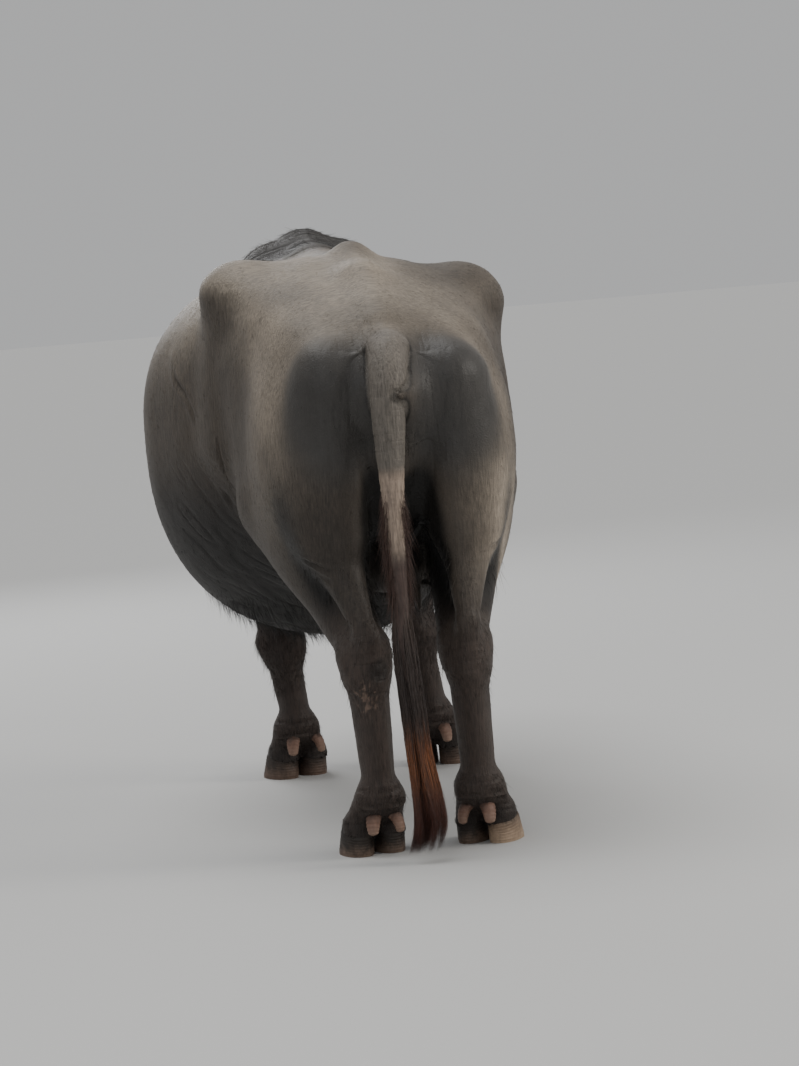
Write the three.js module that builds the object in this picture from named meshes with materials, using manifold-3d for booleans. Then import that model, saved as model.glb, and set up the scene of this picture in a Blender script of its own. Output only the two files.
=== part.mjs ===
// A life-size water buffalo cow, standing still with her head turned to her right.
// Millimetres: +X to the animal's left, +Y to the rear, +Z up, all eight hooves flat on Z = 0.
// The flesh is one smooth field of blended forms. Rings of rays find its surface, and
// thin plane and haunch-shaped cuts part it into torso, neck, head and legs.

import * as THREE from "three";
import { mergeVertices } from "three/addons/utils/BufferGeometryUtils.js";
import Module from "manifold-3d";

const wasm = await Module();
wasm.setup();

// Driving dimensions
const rumpHeight = 1357; // top of the sacrum above the floor
const withersHeight = 1392; // top of the shoulders above the floor
const tailRootHeight = 1172;
const loinHeight = 1334;
const bellyClearance = 414; // lowest point of the belly above the floor
const bellyHalfLeft = 482; // from the spine out to the full left flank
const bellyHalfRight = 354;
const hookSpread = 309; // from the spine out to each hip bone
const pelvisLean = 0.085; // the left hip stands higher than the right by this slope
const headLength = 545; // from the poll to the tip of the nose
const headDroop = THREE.MathUtils.degToRad(50); // the face line below the level
const headTurn = THREE.MathUtils.degToRad(27); // the face to the animal's right
const eyeRadius = 22;
const seam = 0.3; // gap between nodes that touch
const cutMargin = 45; // how far a raw form runs past the cut that trims it
const legMargin = 70; // the same where a leg and the torso part
const cleftShare = 7; // and this many times less across the middle, where the other leg is close

// A place s ahead of the tail root, with its distance to the animal's left and its height.
const at = (s, left, up) => new THREE.Vector3(left, -s, up);

const poll = at(1985, -165, 1165);

// Small tools for numbers and profiles
const mix = (a, b, t) => a + (b - a) * t;
const clamp01 = (t) => Math.min(1, Math.max(0, t));
const smoothStep = (t) => clamp01(t) ** 2 * (3 - 2 * clamp01(t));

// A smooth line through stations [place, value], level past both ends.
function profile(stations) {
  const slope = stations.map((station, i) => {
    const before = stations[Math.max(0, i - 1)];
    const after = stations[Math.min(stations.length - 1, i + 1)];
    return (after[1] - before[1]) / (after[0] - before[0]);
  });
  return (place) => {
    if (place <= stations[0][0]) return stations[0][1];
    const i = stations.findIndex((station) => place < station[0]);
    if (i < 0) return stations[stations.length - 1][1];
    const [x0, y0] = stations[i - 1];
    const [x1, y1] = stations[i];
    const span = x1 - x0;
    const t = (place - x0) / span;
    return (
      y0 * (1 + 2 * t) * (1 - t) ** 2 +
      slope[i - 1] * span * t * (1 - t) ** 2 +
      y1 * t * t * (3 - 2 * t) -
      slope[i] * span * t * t * (1 - t)
    );
  };
}

// Fields give a point's distance in millimetres outside a form, below zero inside it.
const blend = (a, b, reach) => Math.min(a, b) - Math.max(reach - Math.abs(a - b), 0) ** 2 / (4 * reach);

// A limb that tapers from one ball to another.
function limb(a, b, radiusA, radiusB) {
  const [dx, dy, dz] = [b.x - a.x, b.y - a.y, b.z - a.z];
  const lengthSquared = dx * dx + dy * dy + dz * dz;
  return (x, y, z) => {
    const t = clamp01(((x - a.x) * dx + (y - a.y) * dy + (z - a.z) * dz) / lengthSquared);
    return Math.hypot(x - a.x - t * dx, y - a.y - t * dy, z - a.z - t * dz) - mix(radiusA, radiusB, t);
  };
}

// An egg with half sizes along X, Y and Z, tipped about X and turned about Z by angles in degrees.
function egg(centre, rx, ry, rz, tip = 0, turn = 0) {
  const angles = new THREE.Euler(THREE.MathUtils.degToRad(tip), 0, THREE.MathUtils.degToRad(turn));
  const m = new THREE.Matrix4().makeRotationFromEuler(angles).transpose().elements;
  return (px, py, pz) => {
    const [x, y, z] = [px - centre.x, py - centre.y, pz - centre.z];
    const lx = m[0] * x + m[4] * y + m[8] * z;
    const ly = m[1] * x + m[5] * y + m[9] * z;
    const lz = m[2] * x + m[6] * y + m[10] * z;
    const near = Math.hypot(lx / rx, ly / ry, lz / rz);
    return Math.hypot(x, y, z) * (1 - 1 / Math.max(near, 1e-3));
  };
}

// Forms [field, reach of its blend] joined one after another.
function gather(forms) {
  return (x, y, z) => forms.reduce((sum, [field, reach]) => blend(sum, field(x, y, z), reach), 1e4);
}

// A body that runs along one axis, with its top, bottom, widest level and half widths as profiles.
function barrel(shape, first, last) {
  return (along, side, up) => {
    const s = Math.min(last, Math.max(first, along));
    const level = shape.level(s);
    const across = side > 0 ? shape.left(s) : shape.right(s);
    const tall = up > level ? shape.top(s) - level : level - shape.bottom(s);
    const power = (up > level ? shape.upper : side > 0 ? shape.lowerLeft : shape.lowerRight)(s);
    const [dx, dz] = [Math.abs(side), Math.abs(up - level)];
    const near = ((dx / across) ** power + (dz / tall) ** power) ** (1 / power);
    const out = Math.hypot(dx, dz) * (1 - 1 / Math.max(near, 1e-3));
    return along === s ? out : Math.hypot(Math.max(out, 0), along - s) + Math.min(out, 0);
  };
}

// Torso
const trunkShape = {
  top: profile([
    [-40, 1120], [60, 1205], [250, 1290], [430, 1338], [650, loinHeight - 6], [850, loinHeight],
    [1050, 1350], [1270, withersHeight - 12], [1440, 1368], [1580, 1290],
  ]),
  bottom: profile([
    [-40, 930], [60, 745], [250, 640], [450, 540], [650, 448], [850, bellyClearance], [1050, 452],
    [1250, 550], [1420, 600], [1580, 660],
  ]),
  level: profile([
    [-40, 1030], [250, 1010], [450, 990], [650, 950], [850, 930], [1050, 910], [1300, 920], [1580, 960],
  ]),
  left: profile([
    [-40, 105], [60, 200], [250, 285], [450, 346], [650, 434], [850, bellyHalfLeft], [1050, 446],
    [1250, 352], [1420, 262], [1580, 185],
  ]),
  right: profile([
    [-40, 105], [60, 200], [250, 280], [450, 316], [650, 344], [850, bellyHalfRight], [1050, 350],
    [1250, 320], [1420, 258], [1580, 185],
  ]),
  upper: profile([[-40, 2.2], [250, 2.6], [450, 2.8], [620, 2.65], [850, 2.5], [1250, 1.9], [1580, 1.9]]),
  lowerLeft: profile([[-40, 2], [450, 2.2], [850, 2.4], [1580, 2]]),
  lowerRight: profile([[-40, 2], [450, 1.85], [850, 1.75], [1250, 1.9], [1580, 2]]),
};
const trunkBarrel = barrel(trunkShape, -30, 1560);

// The two sides of the pelvis and shoulders. side is 1 on the left and -1 on the right.
const hipForms = [1, -1].flatMap((side) => [
  [egg(at(478, side * (hookSpread - 42), 1248), 72, 82, 52), 66],
  [limb(at(455, side * (hookSpread - 62), 1240), at(40, side * 128, 1090), 62, 62), 60],
  [egg(at(12, side * 138, 1075), 60, 62, 62), 45],
  [limb(at(470, side * (hookSpread - 50), 1215), at(500, side * 284, 900), 76, 84), 90],
]);
const shoulderForms = [1, -1].flatMap((side) => [
  [limb(at(1285, side * 92, 1318), at(1500, side * 205, 930), 62, 96), 90],
  [limb(at(1215, side * 130, 1240), at(1330, side * 225, 860), 70, 100), 90],
]);
const spineForms = [
  [limb(at(60, 0, tailRootHeight), at(250, 0, 1276), 44, 34), 70],
  [limb(at(250, 0, 1276), at(425, 0, rumpHeight - 26), 34, 26), 55],
  [limb(at(425, 0, rumpHeight - 26), at(620, 0, loinHeight - 30), 26, 30), 55],
  [limb(at(620, 0, loinHeight - 30), at(1080, 0, 1322), 30, 34), 60],
  [limb(at(1080, 0, 1322), at(1300, 0, withersHeight - 40), 34, 42), 60],
  [limb(at(1300, 0, withersHeight - 40), at(1480, -4, 1315), 42, 50), 70],
];
const rearForms = [
  [egg(at(10, 0, 1085), 54, 50, 50), 44],
  [egg(at(10, -3, 930), 34, 42, 84, -8), 44],
  [limb(at(10, 0, 860), at(110, 0, 690), 26, 40), 40],
];
const trunkForms = gather([...hipForms, ...shoulderForms, ...spineForms, ...rearForms]);
const leanAt = (s) => pelvisLean * (1 - smoothStep((s - 520) / 420));

function trunkField(x, y, z) {
  const up = z - leanAt(-y) * x;
  return blend(trunkBarrel(-y, x, up), trunkForms(x, y, up), 55);
}

// Neck, from the withers and chest to the back of the head
const neckForms = [
  [limb(at(1440, -2, 1235), at(1730, -62, 1180), 118, 92), 1],
  [limb(at(1730, -62, 1180), poll.clone().add(at(-20, 10, -62)), 92, 74), 60],
  [limb(at(1470, 0, 1010), at(1760, -70, 990), 165, 112), 120],
  [limb(at(1760, -70, 990), poll.clone().add(at(55, -25, -190)), 112, 84), 90],
  [limb(at(1500, 0, 800), at(1700, -45, 880), 120, 78), 110],
  [egg(at(1500, 0, 720), 118, 120, 92), 90],
];
const neckField = gather(neckForms);

// Head, in its own frame: u from poll to nose, w to the left, v out of the forehead
const faceAlong = new THREE.Vector3(
  -Math.sin(headTurn) * Math.cos(headDroop),
  -Math.cos(headTurn) * Math.cos(headDroop),
  -Math.sin(headDroop),
);
const faceLeft = new THREE.Vector3(Math.cos(headTurn), -Math.sin(headTurn), 0);
const faceOut = new THREE.Vector3().crossVectors(faceLeft, faceAlong).normalize();
if (faceOut.z < 0) faceOut.negate();
const inHead = (u, w, v) =>
  poll.clone().addScaledVector(faceAlong, u).addScaledVector(faceLeft, w).addScaledVector(faceOut, v);

const skullWidth = profile([
  [-40, 62], [30, 100], [110, 108], [180, 104], [260, 84], [340, 70], [420, 68], [480, 79], [515, 80],
  [headLength, 48],
]);
const skullRound = profile([[-40, 2], [110, 1.9], [300, 2], [460, 2.7], [headLength, 2.4]]);
const skullShape = {
  top: profile([
    [-40, -40], [0, 0], [60, 20], [130, 26], [220, 12], [310, -4], [420, -12], [490, -9], [525, -22],
    [headLength, -50],
  ]),
  bottom: profile([
    [-40, -170], [40, -214], [110, -240], [190, -226], [300, -174], [400, -140], [460, -134], [510, -130],
    [headLength, -98],
  ]),
  level: profile([[-40, -90], [110, -84], [300, -84], [460, -66], [headLength, -70]]),
  left: skullWidth,
  right: skullWidth,
  upper: profile([[-40, 2.2], [130, 2.6], [300, 2.3], [headLength, 2.6]]),
  lowerLeft: skullRound,
  lowerRight: skullRound,
};
const skullBarrel = barrel(skullShape, -30, headLength - 22);
const eyePlace = { u: 176, w: 99, v: -34 };
const hornRoot = { u: 22, w: 84, v: -34 };
const earRoot = { u: 102, w: 98, v: -118 };
const headForms = gather([
  [egg(new THREE.Vector3(150, 82, -14), 52, 36, 34), 1],
  [egg(new THREE.Vector3(165, 76, -150), 92, 38, 66, 0, 0), 30],
  [egg(new THREE.Vector3(hornRoot.u, hornRoot.w - 20, hornRoot.v), 50, 42, 40), 30],
  [egg(new THREE.Vector3(500, 38, -50), 42, 42, 38), 20],
  [egg(new THREE.Vector3(498, 12, -112), 40, 44, 20), 14],
  [limb(new THREE.Vector3(255, 62, -92), new THREE.Vector3(170, 92, -78), 20, 26), 24],
]);

function headFieldAt(u, w, v) {
  return blend(skullBarrel(u, w, v), headForms(u, Math.abs(w), v), 26);
}
function headField(x, y, z) {
  const d = new THREE.Vector3(x, y, z).sub(poll);
  return headFieldAt(d.dot(faceAlong), d.dot(faceLeft), d.dot(faceOut));
}

// Legs. Every joint is a place, and foot is the middle of the sole.
// rise and heelRise are the heights of the hoof's upper rim in front and at the heel.
const foreFoot = { length: 140, width: 166, rise: 66, heelRise: 44, toeOut: 20 };
const hindFoot = { length: 134, width: 150, rise: 62, heelRise: 40, toeOut: 12 };
const legs = {
  hind_leg_left: {
    side: 1, kind: "hind", ...hindFoot,
    hock: at(-8, 106, 440), fetlock: at(2, 98, 128), foot: at(66, 118, 0),
  },
  hind_leg_right: {
    side: -1, kind: "hind", ...hindFoot, toeOut: 30,
    hock: at(-4, -124, 440), fetlock: at(8, -130, 128), foot: at(64, -158, 0),
  },
  fore_leg_left: {
    side: 1, kind: "fore", ...foreFoot,
    knee: at(1352, 132, 346), fetlock: at(1352, 114, 128), foot: at(1410, 122, 0),
  },
  fore_leg_right: {
    side: -1, kind: "fore", ...foreFoot, toeOut: 16,
    knee: at(1322, -214, 346), fetlock: at(1318, -238, 128), foot: at(1376, -256, 0),
  },
};
const rimFront = 24; // the hoof's upper rim runs from this far ahead of the sole's middle
const rimBack = -64; // to this far behind it

// The way a foot points, and a place in its frame: ahead of the sole's middle, to its left, and up.
function toeWay(leg) {
  const turn = THREE.MathUtils.degToRad(leg.toeOut) * leg.side;
  return at(Math.cos(turn), Math.sin(turn), 0);
}
function inFoot(leg, ahead, left, up) {
  const way = toeWay(leg);
  const across = new THREE.Vector3().crossVectors(way, new THREE.Vector3(0, 0, -1));
  return leg.foot.clone().addScaledVector(way, ahead).addScaledVector(across, left).add(at(0, 0, up));
}

function footForms(leg) {
  const claw = leg.width / 4;
  const pastern = (inner) => leg.fetlock.clone().add(at(4, inner * 14, 4));
  return [1, -1].flatMap((inner) => [
    [limb(pastern(inner), inFoot(leg, -24, inner * claw, 68), 42, claw - 4), 16],
    [limb(inFoot(leg, -24, inner * claw, 68), inFoot(leg, -10, inner * claw, 44), claw - 4, claw - 6), 12],
    [egg(inFoot(leg, -40, inner * claw, 44), claw - 4, claw - 12, 34), 14],
  ]);
}

function hindForms(leg) {
  const { side, hock, fetlock } = leg;
  const stifle = at(372, side * 204, 795);
  return [
    [egg(at(205, side * 176, 900), 130, 222, 292, 6), 1],
    [limb(at(395, side * 224, 1090), stifle, 92, 94), 90],
    [limb(at(8, side * 142, 1040), at(40, side * 148, 720), 74, 78), 70],
    [limb(stifle.clone().add(at(-50, 0, -10)), hock.clone().add(at(38, 0, 30)), 110, 58), 80],
    [limb(at(58, side * 158, 725), hock.clone().add(at(-44, 0, 66)), 66, 25), 40],
    [limb(hock.clone().add(at(-44, 0, 60)), hock.clone().add(at(-18, 0, -40)), 25, 36), 26],
    [egg(hock.clone().add(at(12, 0, 0)), 62, 54, 70), 34],
    [limb(hock.clone().add(at(6, 0, -40)), fetlock.clone().add(at(2, 0, 50)), 48, 40), 30],
    [limb(hock.clone().add(at(-26, 0, -50)), fetlock.clone().add(at(-24, 0, 40)), 25, 22), 18],
    [egg(fetlock, 56, 48, 46), 30],
    ...footForms(leg),
  ];
}

function foreForms(leg) {
  const { side, knee, fetlock } = leg;
  const elbow = at(1236, side * 205, 716);
  return [
    [egg(at(1400, side * 196, 985), 96, 165, 270, -16), 1],
    [limb(at(1500, side * 196, 880), elbow, 108, 86), 80],
    [limb(elbow, at(1262, side * 196, 640), 62, 60), 50],
    [limb(at(1330, side * 196, 700), knee.clone().add(at(6, 0, 40)), 96, 52), 60],
    [egg(knee, 62, 58, 62), 34],
    [limb(knee.clone().add(at(-32, 0, 14)), knee.clone().add(at(-30, 0, -30)), 30, 24), 22],
    [limb(knee.clone().add(at(2, 0, -30)), fetlock.clone().add(at(0, 0, 44)), 45, 40), 30],
    [limb(knee.clone().add(at(-24, 0, -40)), fetlock.clone().add(at(-24, 0, 36)), 26, 25), 18],
    [egg(fetlock, 60, 52, 46), 30],
    ...footForms(leg),
  ];
}

for (const leg of Object.values(legs)) {
  leg.field = gather(leg.kind === "hind" ? hindForms(leg) : foreForms(leg));
}

// The whole skin
function skinField(x, y, z) {
  let d = trunkField(x, y, z);
  for (const leg of Object.values(legs)) {
    const near = leg.field(x, y, z);
    if (near < 300) d = blend(d, near, z > 560 ? 46 : 12);
  }
  if (y < -1250) {
    d = blend(d, neckField(x, y, z), 95);
    d = blend(d, headField(x, y, z), 44);
  }
  return d;
}

// Meshes
const { Manifold } = wasm;

function toSolid(geometry) {
  const bare = geometry.clone();
  for (const name of Object.keys(bare.attributes)) {
    if (name !== "position") bare.deleteAttribute(name);
  }
  const merged = mergeVertices(bare, 1e-3);
  const made = new Manifold(
    new wasm.Mesh({
      numProp: 3,
      vertProperties: new Float32Array(merged.attributes.position.array),
      triVerts: new Uint32Array(merged.index.array),
    }),
  );
  return made;
}

function toGeometry(solid) {
  const mesh = solid.getMesh();
  const geometry = new THREE.BufferGeometry();
  geometry.setAttribute("position", new THREE.BufferAttribute(mesh.vertProperties, 3));
  geometry.setIndex(new THREE.BufferAttribute(mesh.triVerts, 1));
  geometry.computeVertexNormals();
  return geometry;
}

const largest = (solid) => solid.decompose().sort((a, b) => b.volume() - a.volume())[0];

// A closed surface through rings of equally many points, each end shut by a fan.
function loft(rings, startTip, endTip) {
  const count = rings[0].length;
  const points = rings.flat();
  const faces = [];
  for (let r = 0; r + 1 < rings.length; r++) {
    for (let i = 0; i < count; i++) {
      const a = r * count + i;
      const b = r * count + ((i + 1) % count);
      faces.push(a, b, b + count, a, b + count, a + count);
    }
  }
  const middle = (ring) => ring.reduce((sum, p) => sum.add(p), new THREE.Vector3()).divideScalar(count);
  const start = points.push(startTip ?? middle(rings[0])) - 1;
  const end = points.push(endTip ?? middle(rings[rings.length - 1])) - 1;
  for (let i = 0; i < count; i++) {
    const j = (i + 1) % count;
    faces.push(start, j, i);
    faces.push(end, (rings.length - 1) * count + i, (rings.length - 1) * count + j);
  }
  const geometry = new THREE.BufferGeometry().setFromPoints(points);
  geometry.setIndex(faces);
  return facingOut(geometry);
}

// Turns every face round where the closed surface is inside out.
function facingOut(geometry) {
  const p = geometry.attributes.position;
  const index = geometry.index;
  const [a, b, c] = [new THREE.Vector3(), new THREE.Vector3(), new THREE.Vector3()];
  let volume = 0;
  for (let i = 0; i < index.count; i += 3) {
    a.fromBufferAttribute(p, index.getX(i));
    b.fromBufferAttribute(p, index.getX(i + 1));
    c.fromBufferAttribute(p, index.getX(i + 2));
    volume += a.dot(b.cross(c));
  }
  if (volume < 0) {
    for (let i = 0; i < index.count; i += 3) {
      const second = index.getX(i + 1);
      index.setX(i + 1, index.getX(i + 2));
      index.setX(i + 2, second);
    }
  }
  return geometry;
}

// The outermost point of a field's surface on a ray from inside it.
function cast(field, from, direction, far) {
  const step = 9;
  const place = new THREE.Vector3();
  const valueAt = (t) => {
    place.copy(from).addScaledVector(direction, t);
    return field(place.x, place.y, place.z);
  };
  let outer = far;
  while (outer > step && valueAt(outer) > 0) outer -= step;
  let [inside, outside] = [outer, Math.min(far, outer + step)];
  for (let i = 0; i < 14; i++) {
    const half = (inside + outside) / 2;
    if (valueAt(half) > 0) outside = half;
    else inside = half;
  }
  return from.clone().addScaledVector(direction, Math.max(inside, 2));
}

// One ring of rays in the plane of two directions, or tilted out of it towards lift.
function castRing(field, centre, across, up, count, far, lift, tilt = 0) {
  return Array.from({ length: count }, (_, i) => {
    const turn = ((i + 0.5) / count) * 2 * Math.PI;
    const direction = across.clone().multiplyScalar(Math.cos(turn)).addScaledVector(up, Math.sin(turn));
    if (tilt) direction.multiplyScalar(Math.cos(tilt)).addScaledVector(lift, Math.sin(tilt));
    return cast(field, centre, direction.normalize(), far);
  });
}

// The half of space ahead of a plane, as a very large box.
function halfSpace(point, normal, offset = 0) {
  const size = 6000;
  const box = new THREE.BoxGeometry(size, size, size);
  box.translate(0, 0, size / 2);
  const way = normal.clone().normalize();
  box.applyQuaternion(new THREE.Quaternion().setFromUnitVectors(new THREE.Vector3(0, 0, 1), way));
  const start = point.clone().addScaledVector(way, offset);
  box.translate(start.x, start.y, start.z);
  return toSolid(box);
}

const X = new THREE.Vector3(1, 0, 0);
const Y = new THREE.Vector3(0, 1, 0);
const Z = new THREE.Vector3(0, 0, 1);

// Cut planes of the neck
const neckBase = { point: at(1540, 0, 1060), normal: at(0.94, 0, 0.34).normalize() };
const neckEnd = {
  point: inHead(22, 0, -120),
  normal: faceAlong.clone().multiplyScalar(0.916).addScaledVector(faceOut, 0.4).normalize(),
};
const ahead = (plane, x, y, z) => plane.normal.dot(new THREE.Vector3(x, y, z).sub(plane.point));

// The haunch or shoulder outline that parts a leg from the torso: an upright arch in a plane
// that leans outward above the crotch, pushed out through the leg, on its own side only.
function parting(leg) {
  const hind = leg.kind === "hind";
  const lean = hind ? 0.5 : 0.36;
  return {
    start: hind ? at(215, leg.side * 22, 655) : at(1330, leg.side * 52, 655),
    out: new THREE.Vector3(leg.side * Math.sqrt(1 - lean ** 2), 0, -lean),
    up: new THREE.Vector3(leg.side * lean, 0, Math.sqrt(1 - lean ** 2)),
    half: hind ? 262 : 178,
    rise: hind ? 300 : 190,
    middle: new THREE.Vector3(leg.side * 4, 0, 0),
  };
}

function legCutter(leg, grow) {
  const { start, out, up, half, rise, middle } = parting(leg);
  const outline = new THREE.Shape();
  outline.moveTo(-half - grow, -1100);
  outline.lineTo(half + grow, -1100);
  outline.lineTo(half + grow, rise);
  outline.absarc(0, rise, half + grow, 0, Math.PI, false);
  outline.lineTo(-half - grow, -1100);
  const prism = new THREE.ExtrudeGeometry(outline, { depth: 1400, bevelEnabled: false, curveSegments: 14 });
  prism.translate(0, 0, -grow);
  prism.applyMatrix4(new THREE.Matrix4().makeBasis(Y, up, out));
  prism.translate(start.x, start.y, start.z);
  const ownSide = halfSpace(middle, X.clone().multiplyScalar(leg.side), -grow);
  return toSolid(facingOut(mergeVertices(prism))).intersect(ownSide);
}

// How far a point lies outside that cut, for the rays of the leg's own rings
function outsideParting(leg) {
  const { start, out, up, half, rise, middle } = parting(leg);
  return (x, y, z) => {
    const place = new THREE.Vector3(x, y, z).sub(start);
    const round = Math.hypot(place.y, Math.max(0, place.dot(up) - rise)) - half;
    return Math.max(round, -place.dot(out), (middle.x - x) * leg.side * cleftShare);
  };
}

// Torso
function torsoSolid() {
  const partings = Object.values(legs).map(outsideParting);
  const field = (x, y, z) => {
    const inLegs = Math.max(...partings.map((outside) => -outside(x, y, z) - legMargin));
    return Math.max(skinField(x, y, z), inLegs, ahead(neckBase, x, y, z) - cutMargin);
  };
  const count = 38;
  const rear = at(150, 0, 985);
  const front = at(1430, 0, 985);
  const rings = [];
  for (const tilt of [74, 58, 42, 28, 14]) {
    rings.push(castRing(field, rear, X, Z, count, 900, Y, THREE.MathUtils.degToRad(tilt)));
  }
  const places = [
    150, 215, 285, 350, 410, 465, 520, 590, 680, 780, 880, 980, 1075, 1160, 1240, 1310, 1375, 1430,
  ];
  for (const s of places) {
    const up = mix(985, 905, smoothStep((s - 300) / 300)) + 80 * smoothStep((s - 1100) / 300);
    rings.push(castRing(field, at(s, 0, up), X, Z, count, 900));
  }
  for (const tilt of [20, 42, 65]) {
    rings.push(castRing(field, front, X, Z, count, 900, Y, -THREE.MathUtils.degToRad(tilt)));
  }
  const rearTip = cast(field, rear, Y, 900);
  const frontTip = cast(field, front, Y.clone().negate(), 900);
  return toSolid(loft(rings, rearTip, frontTip));
}

// A leg's horizontal rings, from below its hoof line to the top of its haunch or shoulder
function legSolid(leg) {
  const region = outsideParting(leg);
  const field = (x, y, z) => Math.max(skinField(x, y, z), region(x, y, z) - legMargin);
  const count = 16;
  const hind = leg.kind === "hind";
  const heights = hind
    ? [24, 56, 84, 110, 138, 180, 270, 350, 395, 430, 465, 510, 570, 640, 730, 840, 950, 1050, 1115, 1165]
    : [24, 56, 84, 110, 138, 180, 260, 308, 346, 384, 430, 500, 580, 660, 750, 850, 930, 985];
  const { side, fetlock } = leg;
  const above = hind
    ? [leg.hock, at(150, side * 165, 640), at(230, side * 208, 800), at(240, side * 262, 1170)]
    : [leg.knee, at(1320, side * 190, 640), at(1350, side * 232, 1000)];
  const spine = [inFoot(leg, -14, 0, 0), fetlock, ...above];
  const lineX = profile(spine.map((place) => [place.z, place.x]));
  const lineY = profile(spine.map((place) => [place.z, place.y]));
  const rings = heights.map((z) => {
    const centre = new THREE.Vector3(lineX(z), lineY(z), z);
    return castRing(field, centre, X, Y, count, 420);
  });
  return toSolid(loft(rings));
}

function neckSolid() {
  const field = (x, y, z) =>
    Math.max(skinField(x, y, z), -ahead(neckBase, x, y, z) - cutMargin, ahead(neckEnd, x, y, z) - cutMargin);
  const start = neckBase.point.clone().addScaledVector(neckBase.normal, -40);
  const end = neckEnd.point.clone().addScaledVector(neckEnd.normal, 30);
  const rings = [];
  const steps = 7;
  for (let i = 0; i <= steps; i++) {
    const t = i / steps;
    const normal = neckBase.normal.clone().lerp(neckEnd.normal, t).normalize();
    const centre = start.clone().lerp(end, t).addScaledVector(X, -28 * Math.sin(Math.PI * t));
    const across = new THREE.Vector3().crossVectors(Z, normal).normalize();
    const up = new THREE.Vector3().crossVectors(normal, across);
    rings.push(castRing(field, centre, across, up, 30, 620));
  }
  return toSolid(loft(rings));
}

function headSolid() {
  const field = (x, y, z) =>
    Math.max(blend(neckField(x, y, z), headField(x, y, z), 44), -ahead(neckEnd, x, y, z) - cutMargin);
  const count = 28;
  const rings = [];
  const centreLine = profile([[-30, -118], [120, -100], [300, -84], [headLength, -68]]);
  const places = [
    -8, 16, 42, 68, 92, 115, 136, 156, 176, 196, 218, 246, 280, 318, 358, 396, 428, 452, 470,
  ];
  for (const u of places) {
    const normal = faceAlong.clone().lerp(neckEnd.normal, 1 - smoothStep((u - 30) / 230)).normalize();
    const up = new THREE.Vector3().crossVectors(normal, faceLeft);
    rings.push(castRing(field, inHead(u, 0, centreLine(u)), faceLeft, up, count, 290));
  }
  const front = inHead(470, 0, -68);
  const up = new THREE.Vector3().crossVectors(faceAlong, faceLeft);
  for (const tilt of [16, 30, 43, 56, 70]) {
    rings.push(castRing(field, front, faceLeft, up, count, 300, faceAlong, THREE.MathUtils.degToRad(tilt)));
  }
  return toSolid(loft(rings, undefined, cast(field, front, faceAlong, 300)));
}

// A closed tube along a curve. size(t) gives its half width and half thickness, and its width
// starts out along lay. grow makes it larger all round, its ends too, to cut its own place.
function tube(curve, steps, sides, size, lay, grow = 0) {
  const across = lay.clone();
  const rings = [];
  for (let i = 0; i <= steps; i++) {
    const t = i / steps;
    const tangent = curve.getTangent(t);
    across.addScaledVector(tangent, -across.dot(tangent)).normalize();
    const other = new THREE.Vector3().crossVectors(tangent, across);
    const [wide, thick] = size(t).map((half) => half + grow);
    const centre = curve.getPoint(t).addScaledVector(tangent, i === 0 ? -grow : i === steps ? grow : 0);
    rings.push(
      Array.from({ length: sides }, (_, k) => {
        const turn = ((k + 0.5) / sides) * 2 * Math.PI;
        const edge = centre.clone().addScaledVector(across, wide * Math.cos(turn));
        return edge.addScaledVector(other, thick * Math.sin(turn));
      }),
    );
  }
  return loft(rings);
}

const curveThrough = (places) => new THREE.CatmullRomCurve3(places, false, "centripetal");

// Feet: each has two claws under a sloping rim and two dewclaws behind
function rimPlane(leg) {
  const slope = Math.atan2(leg.rise - leg.heelRise, rimFront - rimBack);
  const normal = toeWay(leg).multiplyScalar(-Math.sin(slope)).add(at(0, 0, Math.cos(slope)));
  return { point: inFoot(leg, (rimFront + rimBack) / 2, 0, (leg.rise + leg.heelRise) / 2), normal };
}

const clawGap = 2.5; // half the cleft between two claws

function clawSolid(leg, inner) {
  const claw = leg.width / 4;
  const toe = leg.length / 2;
  const sides = 12;
  const rings = [0, 9, 30, 60, 84].map((z) => {
    const front = mix(toe, rimFront + 2, z / leg.rise) - (z === 0 ? 3 : 0);
    const back = rimBack - 3 + 0.06 * z + (z === 0 ? 5 : 0);
    const half = claw - clawGap - 0.02 * z - (z === 0 ? 3 : 0);
    return Array.from({ length: sides }, (_, k) => {
      const turn = ((k + 0.5) / sides) * 2 * Math.PI;
      const [c, d] = [Math.cos(turn), Math.sin(turn)];
      const along = (front + back) / 2 + ((front - back) / 2) * Math.sign(c) * Math.abs(c) ** 0.86;
      const pointed = c > 0 ? 1 - 0.22 * c * c : 1;
      const across = claw + half * Math.sign(d) * Math.abs(d) ** 0.8 * pointed - 5 * Math.max(0, c) ** 2;
      return inFoot(leg, along, inner * across, z);
    });
  });
  const { point, normal } = rimPlane(leg);
  const cleft = halfSpace(inFoot(leg, 0, inner * clawGap, 0), inFoot(leg, 0, inner, 0).sub(leg.foot));
  return largest(toSolid(loft(rings)).intersect(cleft).subtract(halfSpace(point, normal, -seam / 2)));
}

function dewclawSolid(leg, inner, grow) {
  const height = leg.kind === "hind" ? 86 : 100;
  const centre = leg.fetlock.clone().lerp(inFoot(leg, -24, 0, 40), 0.3).setZ(height);
  const back = toeWay(leg).negate().addScaledVector(inFoot(leg, 0, inner, 0).sub(leg.foot), 0.78).normalize();
  const skin = cast(leg.field, centre, back, 120);
  const root = skin.clone().addScaledVector(back, -13);
  const curve = curveThrough([
    root.clone().add(at(0, 0, 12)),
    skin.clone().addScaledVector(back, 4).add(at(0, 0, -2)),
    skin.clone().addScaledVector(back, 11).add(at(0, 0, -20)),
    skin.clone().addScaledVector(back, 12).add(at(0, 0, -36)),
  ]);
  const size = (t) => [mix(17, 9, t * t), mix(12, 7, t * t)];
  return toSolid(tube(curve, 4, 6, size, new THREE.Vector3().crossVectors(back, Z), grow));
}

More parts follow.
